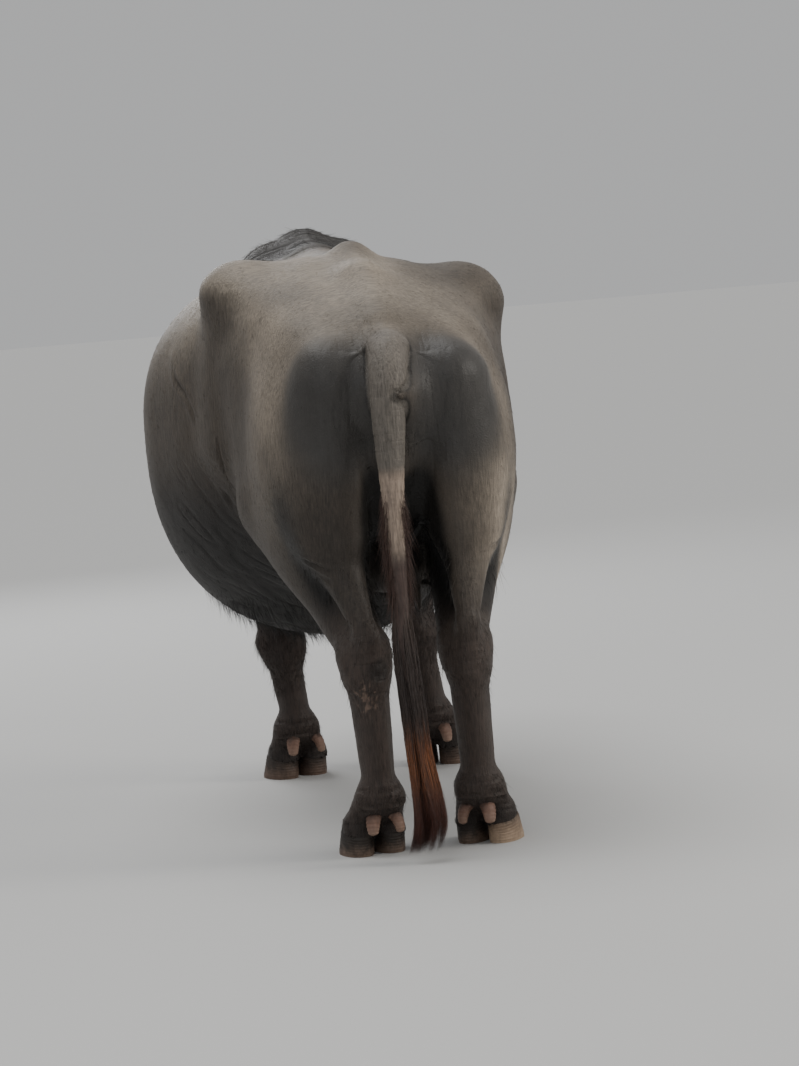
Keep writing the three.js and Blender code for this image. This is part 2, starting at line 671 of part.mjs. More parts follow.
// Tail
const switchTop = 604; // the hair of the switch starts below this height
const tailLine = curveThrough([
  at(40, 0, 1112), at(2, 0, 1126), at(-42, 4, 1120), at(-80, 14, 1076), at(-95, 22, 990),
  at(-99, 25, 900), at(-102, 28, 810), at(-108, 31, 720), at(-115, 31, 640), at(-121, 33, 560),
  at(-127, 36, 480), at(-133, 32, 400),
]);
const tailSize = profile([
  [0, 40], [0.1, 44], [0.2, 47], [0.3, 46], [0.37, 41], [0.45, 35], [0.52, 30], [0.6, 26.5],
  [0.7, 24], [0.8, 20], [1, 12],
]);
const tailTube = (grow) => toSolid(tube(tailLine, 20, 12, (t) => [tailSize(t), tailSize(t) * 0.9], X, grow));

// The same draw each time for pieces that vary
function seeded(seed) {
  let state = seed;
  return () => {
    state = (state * 1664525 + 1013904223) % 4294967296;
    return state / 4294967296;
  };
}

const switchLine = curveThrough([
  at(-116, 31, 600), at(-124, 35, 480), at(-132, 29, 360), at(-141, 24, 240), at(-152, 14, 120),
  at(-170, 12, 14),
]);
const switchHalf = profile([[0, 22], [0.25, 27], [0.5, 28], [0.65, 31], [0.78, 38], [0.9, 44], [1, 40]]);
const lockCount = 17;

// Flat locks spring from a core at the tail's end, bend outward and fall over one another.
function switchSolid() {
  const below = halfSpace(at(0, 0, switchTop), new THREE.Vector3(0, 0, -1), seam / 2);
  const draw = seeded(41);
  const core = (t) => [mix(20, 9, t), mix(18, 8, t)];
  const coreLine = curveThrough(switchLine.getPoints(8).slice(0, 7));
  let solid = tailTube(0).add(toSolid(tube(coreLine, 4, 6, core, X)));
  for (let i = 0; i < lockCount; i++) {
    const turn = i * 2.39996;
    const start = 0.02 + 0.52 * (i / lockCount);
    const end = Math.min(1, start + mix(0.42, 0.66, draw()) + 0.12);
    const depth = 0.35 + 0.65 * Math.sqrt(draw());
    const side = new THREE.Vector3(Math.cos(turn), Math.sin(turn), 0);
    const places = [0, 0.3, 0.65, 1].map((t) => {
      const along = mix(start, end, t);
      const spread = switchHalf(along) * depth * smoothStep(0.25 + t * 1.2) * (t === 1 ? 0.82 : 1);
      const swing = 4 * Math.sin(7 * t + 6 * draw());
      const out = t === 0 ? 6 : spread;
      return switchLine.getPoint(along).addScaledVector(side, out).add(at(0, swing, 0));
    });
    const wide = mix(17, 25, draw());
    const size = (t) => [wide * (0.55 + 1.4 * t - 1.75 * t * t), mix(5, 2.4, t)];
    const lay = new THREE.Vector3().crossVectors(side, Z);
    solid = solid.add(toSolid(tube(curveThrough(places), 4, 4, size, lay)));
  }
  return solid.intersect(below).intersect(halfSpace(at(0, 0, 7), Z));
}

// Udder
const udderPlace = at(268, 0, 648);
function udderSolid(grow) {
  const bag = new THREE.SphereGeometry(1, 14, 8);
  bag.scale(118 + grow, 132 + grow, 88 + grow);
  bag.translate(udderPlace.x, udderPlace.y, udderPlace.z);
  let solid = toSolid(bag);
  for (const s of [-54, 46]) {
    for (const left of [-52, 52]) {
      const top = udderPlace.clone().add(at(s, left, -58));
      const middle = top.clone().add(at(3, left * 0.08, -34));
      const line = curveThrough([top, middle, top.clone().add(at(4, left * 0.14, -72))]);
      solid = solid.add(toSolid(tube(line, 4, 8, (t) => [mix(15, 8, t), mix(15, 8, t)], X, grow)));
    }
  }
  return solid;
}

// Horns
const hornTurns = 1.06;
function hornSolid(side, grow) {
  const places = Array.from({ length: 15 }, (_, i) => {
    const t = i / 14;
    const turn = THREE.MathUtils.degToRad(222) + 2 * Math.PI * hornTurns * t;
    const reach = mix(70, 34, t);
    const back = 50 + reach * Math.cos(turn);
    const up = 58 + reach * Math.sin(turn);
    const out = hornRoot.w - 16 + 78 * Math.sin(Math.PI * clamp01(t * 0.78)) ** 0.9;
    return inHead(hornRoot.u - up, side * out, hornRoot.v - back);
  });
  const size = (t) => {
    const ridge = 1 + 0.035 * Math.sin(t * 26 * Math.PI) * (1 - t);
    const wide = mix(36, 7, t ** 1.1) * ridge;
    return [wide, wide * mix(0.72, 0.9, t)];
  };
  return toSolid(tube(curveThrough(places), 22, 8, size, faceAlong, grow));
}

// Ears: a leaf that curls into a cup along its length
const earLength = 262;
function earSolid(side, grow) {
  const root = inHead(earRoot.u, side * (earRoot.w - 24), earRoot.v);
  const way = faceLeft.clone().multiplyScalar(side * 0.92).add(at(0, 0, -0.3));
  way.addScaledVector(faceAlong, -0.06).normalize();
  const facing = faceAlong.clone().multiplyScalar(0.35).addScaledVector(faceOut, 0.94);
  facing.addScaledVector(way, -facing.dot(way)).normalize();
  const across = new THREE.Vector3().crossVectors(way, facing);
  const halfWidth = profile([[0, 24], [0.14, 28], [0.3, 48], [0.5, 60], [0.7, 52], [0.88, 30], [1, 8]]);
  const cup = profile([[0, 16], [0.14, 24], [0.3, 34], [0.5, 28], [0.8, 14], [1, 2]]);
  const thick = profile([[0, 26], [0.14, 22], [0.26, 11], [0.6, 7], [1, 4]]);
  const columns = 6;
  const rings = [0, 0.1, 0.19, 0.28, 0.4, 0.53, 0.66, 0.78, 0.9, 1].map((t) => {
    const reach = t * earLength - (t === 0 ? grow : 0);
    const centre = root.clone().addScaledVector(way, reach).add(at(0, 0, -34 * t * t));
    const place = (q, spread, lift) =>
      centre
        .clone()
        .addScaledVector(across, q * (halfWidth(t) + spread))
        .addScaledVector(facing, -cup(t) * (1 - q * q) + lift);
    const edge = (q) => (thick(t) / 2) * Math.sqrt(1.06 - q * q);
    const hollow = Array.from({ length: columns }, (_, k) => mix(-1, 1, k / (columns - 1)));
    const back = [...hollow].reverse();
    return [
      ...hollow.map((q) => place(q, 0, edge(q) + 2.4 * grow)),
      ...back.map((q) => place(q, 1.6 * grow, -edge(q) - 1.2 * grow)),
    ];
  });
  return toSolid(loft(rings));
}

// Eyes and lids
const eyeCentre = (side) => inHead(eyePlace.u, side * eyePlace.w, eyePlace.v);
function eyeSolid(side, grow) {
  const ball = new THREE.SphereGeometry(eyeRadius + grow, 12, 9);
  const centre = eyeCentre(side);
  ball.translate(centre.x, centre.y, centre.z);
  return toSolid(ball);
}

// A lid is a thin arch over the ball, tapered to both corners of the eye.
function lidSolid(side, upper) {
  const centre = eyeCentre(side);
  const outward = faceLeft.clone().multiplyScalar(side * 0.9).addScaledVector(faceOut, 0.43).normalize();
  const along = faceAlong.clone().addScaledVector(outward, -faceAlong.dot(outward)).normalize();
  const over = new THREE.Vector3().crossVectors(outward, along).multiplyScalar(side);
  if (over.dot(faceOut) < 0) over.negate();
  const places = [-1, -0.6, -0.2, 0.2, 0.6, 1].map((q) => {
    const lift = (upper ? 14 : -12) * (1 - q * q);
    const depth = Math.sqrt(Math.max(0, (eyeRadius + 1) ** 2 - lift ** 2 - (q * 19) ** 2));
    const place = centre.clone().addScaledVector(along, q * 27).addScaledVector(over, lift);
    return place.addScaledVector(outward, depth);
  });
  const size = (t) => [mix(4, upper ? 8 : 6.5, Math.sin(Math.PI * t)), mix(3.5, 6, Math.sin(Math.PI * t))];
  return toSolid(tube(curveThrough(places), 6, 5, size, over));
}

function nostrilSolid(side) {
  const centre = inHead(478, 0, -62);
  const pit = (left, out, size) => {
    const way = faceAlong.clone().addScaledVector(faceLeft, side * left);
    way.addScaledVector(faceOut, out).normalize();
    const ball = new THREE.SphereGeometry(size, 8, 6);
    const place = cast(headField, centre, way, 200);
    ball.translate(place.x, place.y, place.z);
    return toSolid(ball);
  };
  return pit(0.72, 0.34, 13).add(pit(1.15, 0.62, 9));
}

// The line of the mouth: a groove that follows the lips from one corner round to the other
const mouthCorner = { u: 432, v: -104 };
function mouthSolid() {
  const centre = inHead(mouthCorner.u, 0, mouthCorner.v);
  const places = Array.from({ length: 11 }, (_, i) => {
    const turn = mix(-1.75, 1.75, i / 10);
    const way = faceAlong.clone().multiplyScalar(Math.cos(turn));
    way.addScaledVector(faceLeft, Math.sin(turn)).addScaledVector(faceOut, -0.05);
    return cast(headField, centre, way.normalize(), 200);
  });
  return toSolid(tube(curveThrough(places), 12, 4, () => [7, 2.6], faceLeft));
}

// Colours
const hide = new THREE.MeshStandardMaterial({ color: 0x3b3733, roughness: 0.62, metalness: 0 });
const hoofHorn = new THREE.MeshStandardMaterial({ color: 0x4a3d35, roughness: 0.6, metalness: 0 });
const dewclawHorn = new THREE.MeshStandardMaterial({ color: 0x9a7f70, roughness: 0.6, metalness: 0 });
const horn = new THREE.MeshStandardMaterial({ color: 0x2e2a27, roughness: 0.5, metalness: 0 });
const eyeball = new THREE.MeshStandardMaterial({ color: 0x120c08, roughness: 0.08, metalness: 0 });
const hair = new THREE.MeshStandardMaterial({ color: 0x4a2c1d, roughness: 0.75, metalness: 0 });

const group = new THREE.Group();
function addNode(name, solid, material) {
  const mesh = new THREE.Mesh(toGeometry(largest(solid)), material);
  mesh.name = name;
  group.add(mesh);
}

const sides = { left: 1, right: -1 };

let torso = torsoSolid().subtract(halfSpace(neckBase.point, neckBase.normal, -seam / 2));
for (const leg of Object.values(legs)) torso = torso.subtract(legCutter(leg, seam));
addNode("torso", torso.subtract(tailTube(seam)).subtract(udderSolid(seam)), hide);

let neck = neckSolid()
  .intersect(halfSpace(neckBase.point, neckBase.normal, seam / 2))
  .subtract(halfSpace(neckEnd.point, neckEnd.normal, -seam / 2));
let head = headSolid().intersect(halfSpace(neckEnd.point, neckEnd.normal, seam / 2));
head = head.subtract(mouthSolid());
for (const side of Object.values(sides)) {
  head = head.add(lidSolid(side, true)).add(lidSolid(side, false)).subtract(nostrilSolid(side));
  head = head.subtract(eyeSolid(side, seam)).subtract(hornSolid(side, seam)).subtract(earSolid(side, seam));
  neck = neck.subtract(hornSolid(side, seam)).subtract(earSolid(side, seam));
}
addNode("head", head, hide);
addNode("neck", neck, hide);
for (const [word, side] of Object.entries(sides)) {
  addNode("eye_" + word, eyeSolid(side, 0), eyeball);
  addNode("horn_" + word, hornSolid(side, 0), horn);
  addNode("ear_" + word, earSolid(side, 0), hide);
}

for (const [name, leg] of Object.entries(legs)) {
  const { point, normal } = rimPlane(leg);
  let flesh = legSolid(leg).intersect(legCutter(leg, 0)).intersect(halfSpace(point, normal, seam / 2));
  if (leg.kind === "hind") flesh = flesh.subtract(udderSolid(seam)).subtract(tailTube(seam));
  for (const inner of [1, -1]) {
    const where = name.replace("_leg", "") + (inner === leg.side ? "_outer" : "_inner");
    flesh = flesh.subtract(dewclawSolid(leg, inner, seam));
    addNode("claw_" + where, clawSolid(leg, inner), hoofHorn);
    addNode("dewclaw_" + where, dewclawSolid(leg, inner, 0), dewclawHorn);
  }
  addNode(name, flesh, hide);
}

addNode("tail", tailTube(0).intersect(halfSpace(at(0, 0, switchTop), Z, seam / 2)), hide);
addNode("tail_switch", switchSolid(), hair);
addNode("udder", udderSolid(0), hide);

// The origin is the bottom centre of the whole animal.
const box = new THREE.Box3().setFromObject(group);
group.position.set(-(box.min.x + box.max.x) / 2, -(box.min.y + box.max.y) / 2, 0);

export default group;
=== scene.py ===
import math

import bmesh
import bpy
import numpy as np
from mathutils import Matrix, Vector


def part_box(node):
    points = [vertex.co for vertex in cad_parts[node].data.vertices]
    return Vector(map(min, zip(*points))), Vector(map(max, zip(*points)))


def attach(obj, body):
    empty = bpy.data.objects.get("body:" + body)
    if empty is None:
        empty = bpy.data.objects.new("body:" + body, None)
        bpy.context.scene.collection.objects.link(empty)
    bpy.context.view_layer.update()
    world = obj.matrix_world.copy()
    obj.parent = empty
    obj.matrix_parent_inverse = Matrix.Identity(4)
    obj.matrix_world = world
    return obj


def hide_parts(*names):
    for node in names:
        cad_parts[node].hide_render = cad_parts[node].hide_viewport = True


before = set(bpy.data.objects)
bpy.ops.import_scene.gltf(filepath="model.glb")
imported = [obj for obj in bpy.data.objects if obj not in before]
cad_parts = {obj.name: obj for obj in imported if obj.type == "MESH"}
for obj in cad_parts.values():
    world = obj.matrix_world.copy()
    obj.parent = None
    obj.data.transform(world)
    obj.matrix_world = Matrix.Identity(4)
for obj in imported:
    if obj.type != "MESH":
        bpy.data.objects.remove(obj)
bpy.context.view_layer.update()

# Driving sizes of the body, the same as the solids have
body = {
    "rumpHeight": 1357,
    "withersHeight": 1392,
    "tailRootHeight": 1172,
    "loinHeight": 1334,
    "bellyClearance": 414,
    "bellyHalfLeft": 482,
    "bellyHalfRight": 354,
    "hookSpread": 309,
    "pelvisLean": 0.085,
    "headLength": 545,
    "headDroop": math.radians(50),
    "headTurn": math.radians(27),
    "eyeRadius": 22,
    "coatDepth": 2.0,  # how far the skin lies inside the solids
}
xAxis, yAxis, zAxis = np.eye(3)


# A place s ahead of the tail root, with its distance to the left and its height
def at(s, left, up):
    return np.array([left, -s, up], float)


def mix(a, b, t):
    return a + (b - a) * t


def smooth(t):
    t = np.clip(t, 0, 1)
    return t * t * (3 - 2 * t)


# From 0 at a level to 1 one span past it: above rises with the value, below falls with it
def above(value, level, span):
    return smooth((value - level) / span)


def below(value, level, span):
    return smooth((level - value) / span)


def unit(v):
    v = np.asarray(v, float)
    return v / np.maximum(np.linalg.norm(v, axis=-1, keepdims=True), 1e-9)


# A smooth line through stations (place, value), level past both ends
def profile(*stations):
    xs, ys = np.array(stations, float).T
    last = len(xs) - 1
    before = np.maximum(np.arange(last + 1) - 1, 0)
    after = np.minimum(np.arange(last + 1) + 1, last)
    slope = (ys[after] - ys[before]) / (xs[after] - xs[before])

    def value(place):
        place = np.clip(place, xs[0], xs[-1])
        i = np.clip(np.searchsorted(xs, place, side="right") - 1, 0, last - 1)
        span = xs[i + 1] - xs[i]
        t = (place - xs[i]) / span
        rise = slope[i] * span * t * (1 - t) ** 2 - slope[i + 1] * span * t * t * (1 - t)
        return ys[i] * (1 + 2 * t) * (1 - t) ** 2 + ys[i + 1] * t * t * (3 - 2 * t) + rise

    return value


# Points along a smooth curve through places, at shares of its length counted place by place
def curvePoints(places, shares):
    p = np.array(places, float)
    p = np.vstack([2 * p[0] - p[1], p, 2 * p[-1] - p[-2]])
    count = len(places)
    along = np.clip(np.asarray(shares, float), 0, 1) * (count - 1)
    i = np.minimum(along.astype(int), count - 2)
    t = (along - i)[:, None]
    p0, p1, p2, p3 = p[i], p[i + 1], p[i + 2], p[i + 3]
    d0, d1, d2 = (
        np.sqrt(np.linalg.norm(b - a, axis=1))[:, None]
        for a, b in ((p0, p1), (p1, p2), (p2, p3))
    )
    m1 = ((p1 - p0) / d0 - (p2 - p0) / (d0 + d1) + (p2 - p1) / d1) * d1
    m2 = ((p2 - p1) / d1 - (p3 - p1) / (d1 + d2) + (p3 - p2) / d2) * d1
    cubic = 2 * p1 - 2 * p2 + m1 + m2
    square = -3 * p1 + 3 * p2 - 2 * m1 - m2
    return p1 + m1 * t + square * t**2 + cubic * t**3


# The nearest distance from points to a line of places, and how far along it that is
def fromLine(points, places):
    places = np.asarray(places, float)
    best = np.full(len(points), 1e9)
    share = np.zeros(len(points))
    pieces = len(places) - 1
    for k in range(pieces):
        a, d = places[k], places[k + 1] - places[k]
        t = np.clip((points - a) @ d / max(d @ d, 1e-9), 0, 1)
        far = np.linalg.norm(points - a - t[:, None] * d, axis=1)
        nearer = far < best
        best = np.where(nearer, far, best)
        share = np.where(nearer, (k + t) / pieces, share)
    return best, share


# Smooth noise from -1 to 1 with lumps of about the given size
def noise(points, size, seed=0):
    q = points / size
    cell = np.floor(q).astype(np.int64)
    f = q - cell
    f = f * f * (3 - 2 * f)
    total = np.zeros(len(points))
    for dx in (0, 1):
        for dy in (0, 1):
            for dz in (0, 1):
                h = (cell[:, 0] + dx) * 73856093 ^ (cell[:, 1] + dy) * 19349663
                h = h ^ (cell[:, 2] + dz) * 83492791 ^ (seed + 1) * 2654435761
                h = ((h ^ (h >> 13)) * 1274126177) & 0x7FFFFFFF
                h = ((h ^ (h >> 15)) * 668265263) & 0x7FFFFFFF
                weight = (
                    (f[:, 0] if dx else 1 - f[:, 0])
                    * (f[:, 1] if dy else 1 - f[:, 1])
                    * (f[:, 2] if dz else 1 - f[:, 2])
                )
                total += weight * (h / 0x3FFFFFFF - 1)
    return total


# Forms: each gives the distance of points outside it, below zero inside
def blend(a, b, reach):
    return np.minimum(a, b) - np.maximum(reach - np.abs(a - b), 0) ** 2 / (4 * reach)


def carve(a, cutter, reach):
    return -blend(-a, cutter, reach)


def limb(a, b, radiusA, radiusB):
    d = b - a

    def field(p):
        t = np.clip((p - a) @ d / (d @ d), 0, 1)
        return np.linalg.norm(p - a - t[:, None] * d, axis=1) - mix(radiusA, radiusB, t)

    return field


def egg(centre, rx, ry, rz, tip=0, turn=0):
    tilt = Matrix.Rotation(math.radians(tip), 3, "X") @ Matrix.Rotation(math.radians(turn), 3, "Z")
    tilt = np.array(tilt)

    def field(p):
        d = p - centre
        near = np.linalg.norm((d @ tilt) / (rx, ry, rz), axis=1)
        return np.linalg.norm(d, axis=1) * (1 - 1 / np.maximum(near, 1e-3))

    return field


def gather(forms):
    def field(p):
        total = np.full(len(p), 1e4)
        for form, reach in forms:
            total = blend(total, form(p), reach)
        return total

    return field


def barrel(shape, first, last):
    def field(along, side, up):
        s = np.clip(along, first, last)
        level = shape["level"](s)
        across = np.where(side > 0, shape["left"](s), shape["right"](s))
        tall = np.where(up > level, shape["top"](s) - level, level - shape["bottom"](s))
        lower = np.where(side > 0, shape["lowerLeft"](s), shape["lowerRight"](s))
        power = np.where(up > level, shape["upper"](s), lower)
        dx, dz = np.abs(side), np.abs(up - level)
        near = ((dx / across) ** power + (dz / tall) ** power) ** (1 / power)
        out = np.hypot(dx, dz) * (1 - 1 / np.maximum(near, 1e-3))
        past = np.hypot(np.maximum(out, 0), along - s) + np.minimum(out, 0)
        return np.where(along == s, out, past)

    return field


# Trunk
loin, withers, rump = body["loinHeight"], body["withersHeight"], body["rumpHeight"]
trunkBarrel = barrel(
    {
        "top": profile(
            (-40, 1120), (60, 1205), (250, 1290), (430, 1338), (650, loin - 6), (850, loin),
            (1050, 1350), (1270, withers - 12), (1440, 1368), (1580, 1290),
        ),
        "bottom": profile(
            (-40, 930), (60, 745), (250, 640), (450, 540), (650, 448),
            (850, body["bellyClearance"]), (1050, 452), (1250, 550), (1420, 600), (1580, 660),
        ),
        "level": profile(
            (-40, 1030), (250, 1010), (450, 990), (650, 950), (850, 930), (1050, 910),
            (1300, 920), (1580, 960),
        ),
        "left": profile(
            (-40, 105), (60, 200), (250, 285), (450, 346), (650, 434),
            (850, body["bellyHalfLeft"]), (1050, 446), (1250, 352), (1420, 262), (1580, 185),
        ),
        "right": profile(
            (-40, 105), (60, 200), (250, 280), (450, 316), (650, 344),
            (850, body["bellyHalfRight"]), (1050, 350), (1250, 320), (1420, 258), (1580, 185),
        ),
        "upper": profile(
            (-40, 2.2), (250, 2.6), (450, 2.8), (620, 2.65), (850, 2.5), (1250, 1.9), (1580, 1.9)
        ),
        "lowerLeft": profile((-40, 2), (450, 2.2), (850, 2.4), (1580, 2)),
        "lowerRight": profile((-40, 2), (450, 1.85), (850, 1.75), (1250, 1.9), (1580, 2)),
    },
    -30,
    1560,
)
hook = body["hookSpread"]
trunkForms = []
for side in (1, -1):
    trunkForms += [
        (egg(at(478, side * (hook - 42), 1248), 72, 82, 52), 66),
        (limb(at(455, side * (hook - 62), 1240), at(40, side * 128, 1090), 62, 62), 60),
        (egg(at(12, side * 138, 1075), 60, 62, 62), 45),
        (limb(at(470, side * (hook - 50), 1215), at(500, side * 284, 900), 76, 84), 90),
    ]
for side in (1, -1):
    trunkForms += [
        (limb(at(1285, side * 92, 1318), at(1500, side * 205, 930), 62, 96), 90),
        (limb(at(1215, side * 130, 1240), at(1330, side * 225, 860), 70, 100), 90),
    ]
trunkForms += [
    (limb(at(60, 0, body["tailRootHeight"]), at(250, 0, 1276), 44, 34), 70),
    (limb(at(250, 0, 1276), at(425, 0, rump - 26), 34, 26), 55),
    (limb(at(425, 0, rump - 26), at(620, 0, loin - 30), 26, 30), 55),
    (limb(at(620, 0, loin - 30), at(1080, 0, 1322), 30, 34), 60),
    (limb(at(1080, 0, 1322), at(1300, 0, withers - 40), 34, 42), 60),
    (limb(at(1300, 0, withers - 40), at(1480, -4, 1315), 42, 50), 70),
    (egg(at(10, 0, 1085), 54, 50, 50), 44),
    (egg(at(10, -3, 930), 34, 42, 84, -8), 44),
    (limb(at(10, 0, 860), at(110, 0, 690), 26, 40), 40),
]
trunkForms = gather(trunkForms)


def trunkField(p):
    lean = body["pelvisLean"] * (1 - smooth((-p[:, 1] - 520) / 420))
    q = p.copy()
    q[:, 2] -= lean * p[:, 0]
    return blend(trunkBarrel(-q[:, 1], q[:, 0], q[:, 2]), trunkForms(q), 55)


# Neck and head. The head's own frame has u from poll to nose, w to the left, v out of the brow.
poll = at(1985, -165, 1165)
neckField = gather([
    (limb(at(1440, -2, 1235), at(1730, -62, 1180), 118, 92), 1),
    (limb(at(1730, -62, 1180), poll + at(-20, 10, -62), 92, 74), 60),
    (limb(at(1470, 0, 1010), at(1760, -70, 990), 165, 112), 120),
    (limb(at(1760, -70, 990), poll + at(55, -25, -190), 112, 84), 90),
    (limb(at(1500, 0, 800), at(1700, -45, 880), 120, 78), 110),
    (egg(at(1500, 0, 720), 118, 120, 92), 90),
])
turn, droop = body["headTurn"], body["headDroop"]
faceAlong = np.array([
    -math.sin(turn) * math.cos(droop), -math.cos(turn) * math.cos(droop), -math.sin(droop)
])
faceLeft = np.array([math.cos(turn), -math.sin(turn), 0])
faceOut = unit(np.cross(faceLeft, faceAlong))
if faceOut[2] < 0:
    faceOut = -faceOut


def inHead(u, w, v):
    return poll + faceAlong * u + faceLeft * w + faceOut * v


# Points in the head's frame as columns u, w, v
def headPlace(p):
    d = p - poll
    return np.stack([d @ faceAlong, d @ faceLeft, d @ faceOut], 1)


nose = body["headLength"]
skullWidth = profile(
    (-40, 62), (30, 100), (110, 108), (180, 104), (260, 84), (340, 70), (420, 68), (480, 79),
    (515, 80), (nose, 48),
)
skullRound = profile((-40, 2), (110, 1.9), (300, 2), (460, 2.7), (nose, 2.4))
skullBarrel = barrel(
    {
        "top": profile(
            (-40, -40), (0, 0), (60, 20), (130, 26), (220, 12), (310, -4), (420, -12), (490, -9),
            (525, -22), (nose, -50),
        ),
        "bottom": profile(
            (-40, -170), (40, -214), (110, -240), (190, -226), (300, -174), (400, -140),
            (460, -134), (510, -130), (nose, -98),
        ),
        "level": profile((-40, -90), (110, -84), (300, -84), (460, -66), (nose, -70)),
        "left": skullWidth,
        "right": skullWidth,
        "upper": profile((-40, 2.2), (130, 2.6), (300, 2.3), (nose, 2.6)),
        "lowerLeft": skullRound,
        "lowerRight": skullRound,
    },
    -30,
    nose - 22,
)
eyePlace = (176, 99, -34)
hornRoot = (22, 84, -34)
earRoot = (102, 98, -118)
skullForms = gather([
    (egg((150, 82, -14), 52, 36, 34), 1),
    (egg((165, 76, -150), 92, 38, 66), 30),
    (egg((hornRoot[0], hornRoot[1] - 20, hornRoot[2]), 50, 42, 40), 30),
    (egg((500, 38, -50), 42, 42, 38), 20),
    (egg((498, 12, -112), 40, 44, 20), 14),
    (limb(np.array([255, 62, -92]), np.array([170, 92, -78]), 20, 26), 24),
])


def headField(p):
    q = headPlace(p)
    barrelPart = skullBarrel(q[:, 0], q[:, 1], q[:, 2])
    q[:, 1] = np.abs(q[:, 1])
    return blend(barrelPart, skullForms(q), 26)


# Legs. foot is the middle of the sole, rise and heelRise the heights of the hoof's upper rim.
foreFoot = {"length": 140, "width": 166, "rise": 66, "heelRise": 44}
hindFoot = {"length": 134, "width": 150, "rise": 62, "heelRise": 40}
legs = {
    "hind_leg_left": dict(
        hindFoot, side=1, toeOut=12,
        joint=at(-8, 106, 440), fetlock=at(2, 98, 128), foot=at(66, 118, 0),
    ),
    "hind_leg_right": dict(
        hindFoot, side=-1, toeOut=30,
        joint=at(-4, -124, 440), fetlock=at(8, -130, 128), foot=at(64, -158, 0),
    ),
    "fore_leg_left": dict(
        foreFoot, side=1, toeOut=20,
        joint=at(1352, 132, 346), fetlock=at(1352, 114, 128), foot=at(1410, 122, 0),
    ),
    "fore_leg_right": dict(
        foreFoot, side=-1, toeOut=16,
        joint=at(1322, -214, 346), fetlock=at(1318, -238, 128), foot=at(1376, -256, 0),
    ),
}
rimFront, rimBack = 24, -64


def toeWay(leg):
    swing = math.radians(leg["toeOut"]) * leg["side"]
    return at(math.cos(swing), math.sin(swing), 0)


def inFoot(leg, ahead, left, up):
    way = toeWay(leg)
    across = np.cross(way, -zAxis)
    return leg["foot"] + way * ahead + across * left + zAxis * up


def footForms(leg):
    claw = leg["width"] / 4
    forms = []
    for inner in (1, -1):
        pastern = leg["fetlock"] + at(4, inner * 14, 4)
        cuff = inFoot(leg, -24, inner * claw, 68)
        forms += [
            (limb(pastern, cuff, 42, claw - 4), 16),
            (limb(cuff, inFoot(leg, -10, inner * claw, 44), claw - 4, claw - 6), 12),
            (egg(inFoot(leg, -40, inner * claw, 44), claw - 4, claw - 12, 34), 14),
        ]
    return forms


def hindForms(leg):
    side, hock, fetlock = leg["side"], leg["joint"], leg["fetlock"]
    stifle = at(372, side * 204, 795)
    return [
        (egg(at(205, side * 176, 900), 130, 222, 292, 6), 1),
        (limb(at(395, side * 224, 1090), stifle, 92, 94), 90),
        (limb(at(8, side * 142, 1040), at(40, side * 148, 720), 74, 78), 70),
        (limb(stifle + at(-50, 0, -10), hock + at(38, 0, 30), 110, 58), 80),
        (limb(at(58, side * 158, 725), hock + at(-44, 0, 66), 66, 25), 40),
        (limb(hock + at(-44, 0, 60), hock + at(-18, 0, -40), 25, 36), 26),
        (egg(hock + at(12, 0, 0), 62, 54, 70), 34),
        (limb(hock + at(6, 0, -40), fetlock + at(2, 0, 50), 48, 40), 30),
        (limb(hock + at(-26, 0, -50), fetlock + at(-24, 0, 40), 25, 22), 18),
        (egg(fetlock, 56, 48, 46), 30),
        *footForms(leg),
    ]


def foreForms(leg):
    side, knee, fetlock = leg["side"], leg["joint"], leg["fetlock"]
    elbow = at(1236, side * 205, 716)
    return [
        (egg(at(1400, side * 196, 985), 96, 165, 270, -16), 1),
        (limb(at(1500, side * 196, 880), elbow, 108, 86), 80),
        (limb(elbow, at(1262, side * 196, 640), 62, 60), 50),
        (limb(at(1330, side * 196, 700), knee + at(6, 0, 40), 96, 52), 60),
        (egg(knee, 62, 58, 62), 34),
        (limb(knee + at(-32, 0, 14), knee + at(-30, 0, -30), 30, 24), 22),
        (limb(knee + at(2, 0, -30), fetlock + at(0, 0, 44), 45, 40), 30),
        (limb(knee + at(-24, 0, -40), fetlock + at(-24, 0, 36), 26, 25), 18),
        (egg(fetlock, 60, 52, 46), 30),
        *footForms(leg),
    ]


for legName, leg in legs.items():
    leg["hind"] = legName.startswith("hind")
    leg["field"] = gather(hindForms(leg) if leg["hind"] else foreForms(leg))
    leg["slope"] = math.atan2(leg["rise"] - leg["heelRise"], rimFront - rimBack)
    leg["rimNormal"] = toeWay(leg) * -math.sin(leg["slope"]) + zAxis * math.cos(leg["slope"])
    leg["rimPoint"] = inFoot(leg, (rimFront + rimBack) / 2, 0, (leg["rise"] + leg["heelRise"]) / 2)

# Tail
tailPlaces = [
    at(40, 0, 1112), at(2, 0, 1126), at(-42, 4, 1120), at(-80, 14, 1076), at(-95, 22, 990),
    at(-99, 25, 900), at(-102, 28, 810), at(-108, 31, 720), at(-115, 31, 640), at(-121, 33, 560),
    at(-127, 36, 480), at(-133, 32, 400),
]
tailSize = profile(
    (0, 40), (0.1, 44), (0.2, 47), (0.3, 46), (0.37, 41), (0.45, 35), (0.52, 30), (0.6, 26.5),
    (0.7, 24), (0.8, 20), (1, 12),
)
tailSteps = np.linspace(0, 1, 67)
tailLine = curvePoints(tailPlaces, tailSteps)


def tailField(p):
    far = np.full(len(p), 400.0)
    near = (p[:, 1] > -120) & (np.abs(p[:, 0]) < 140) & (p[:, 2] > 330)
    d, share = fromLine(p[near] * (1, 1.08, 1), tailLine * (1, 1.08, 1))
    far[near] = d - tailSize(share)
    return far


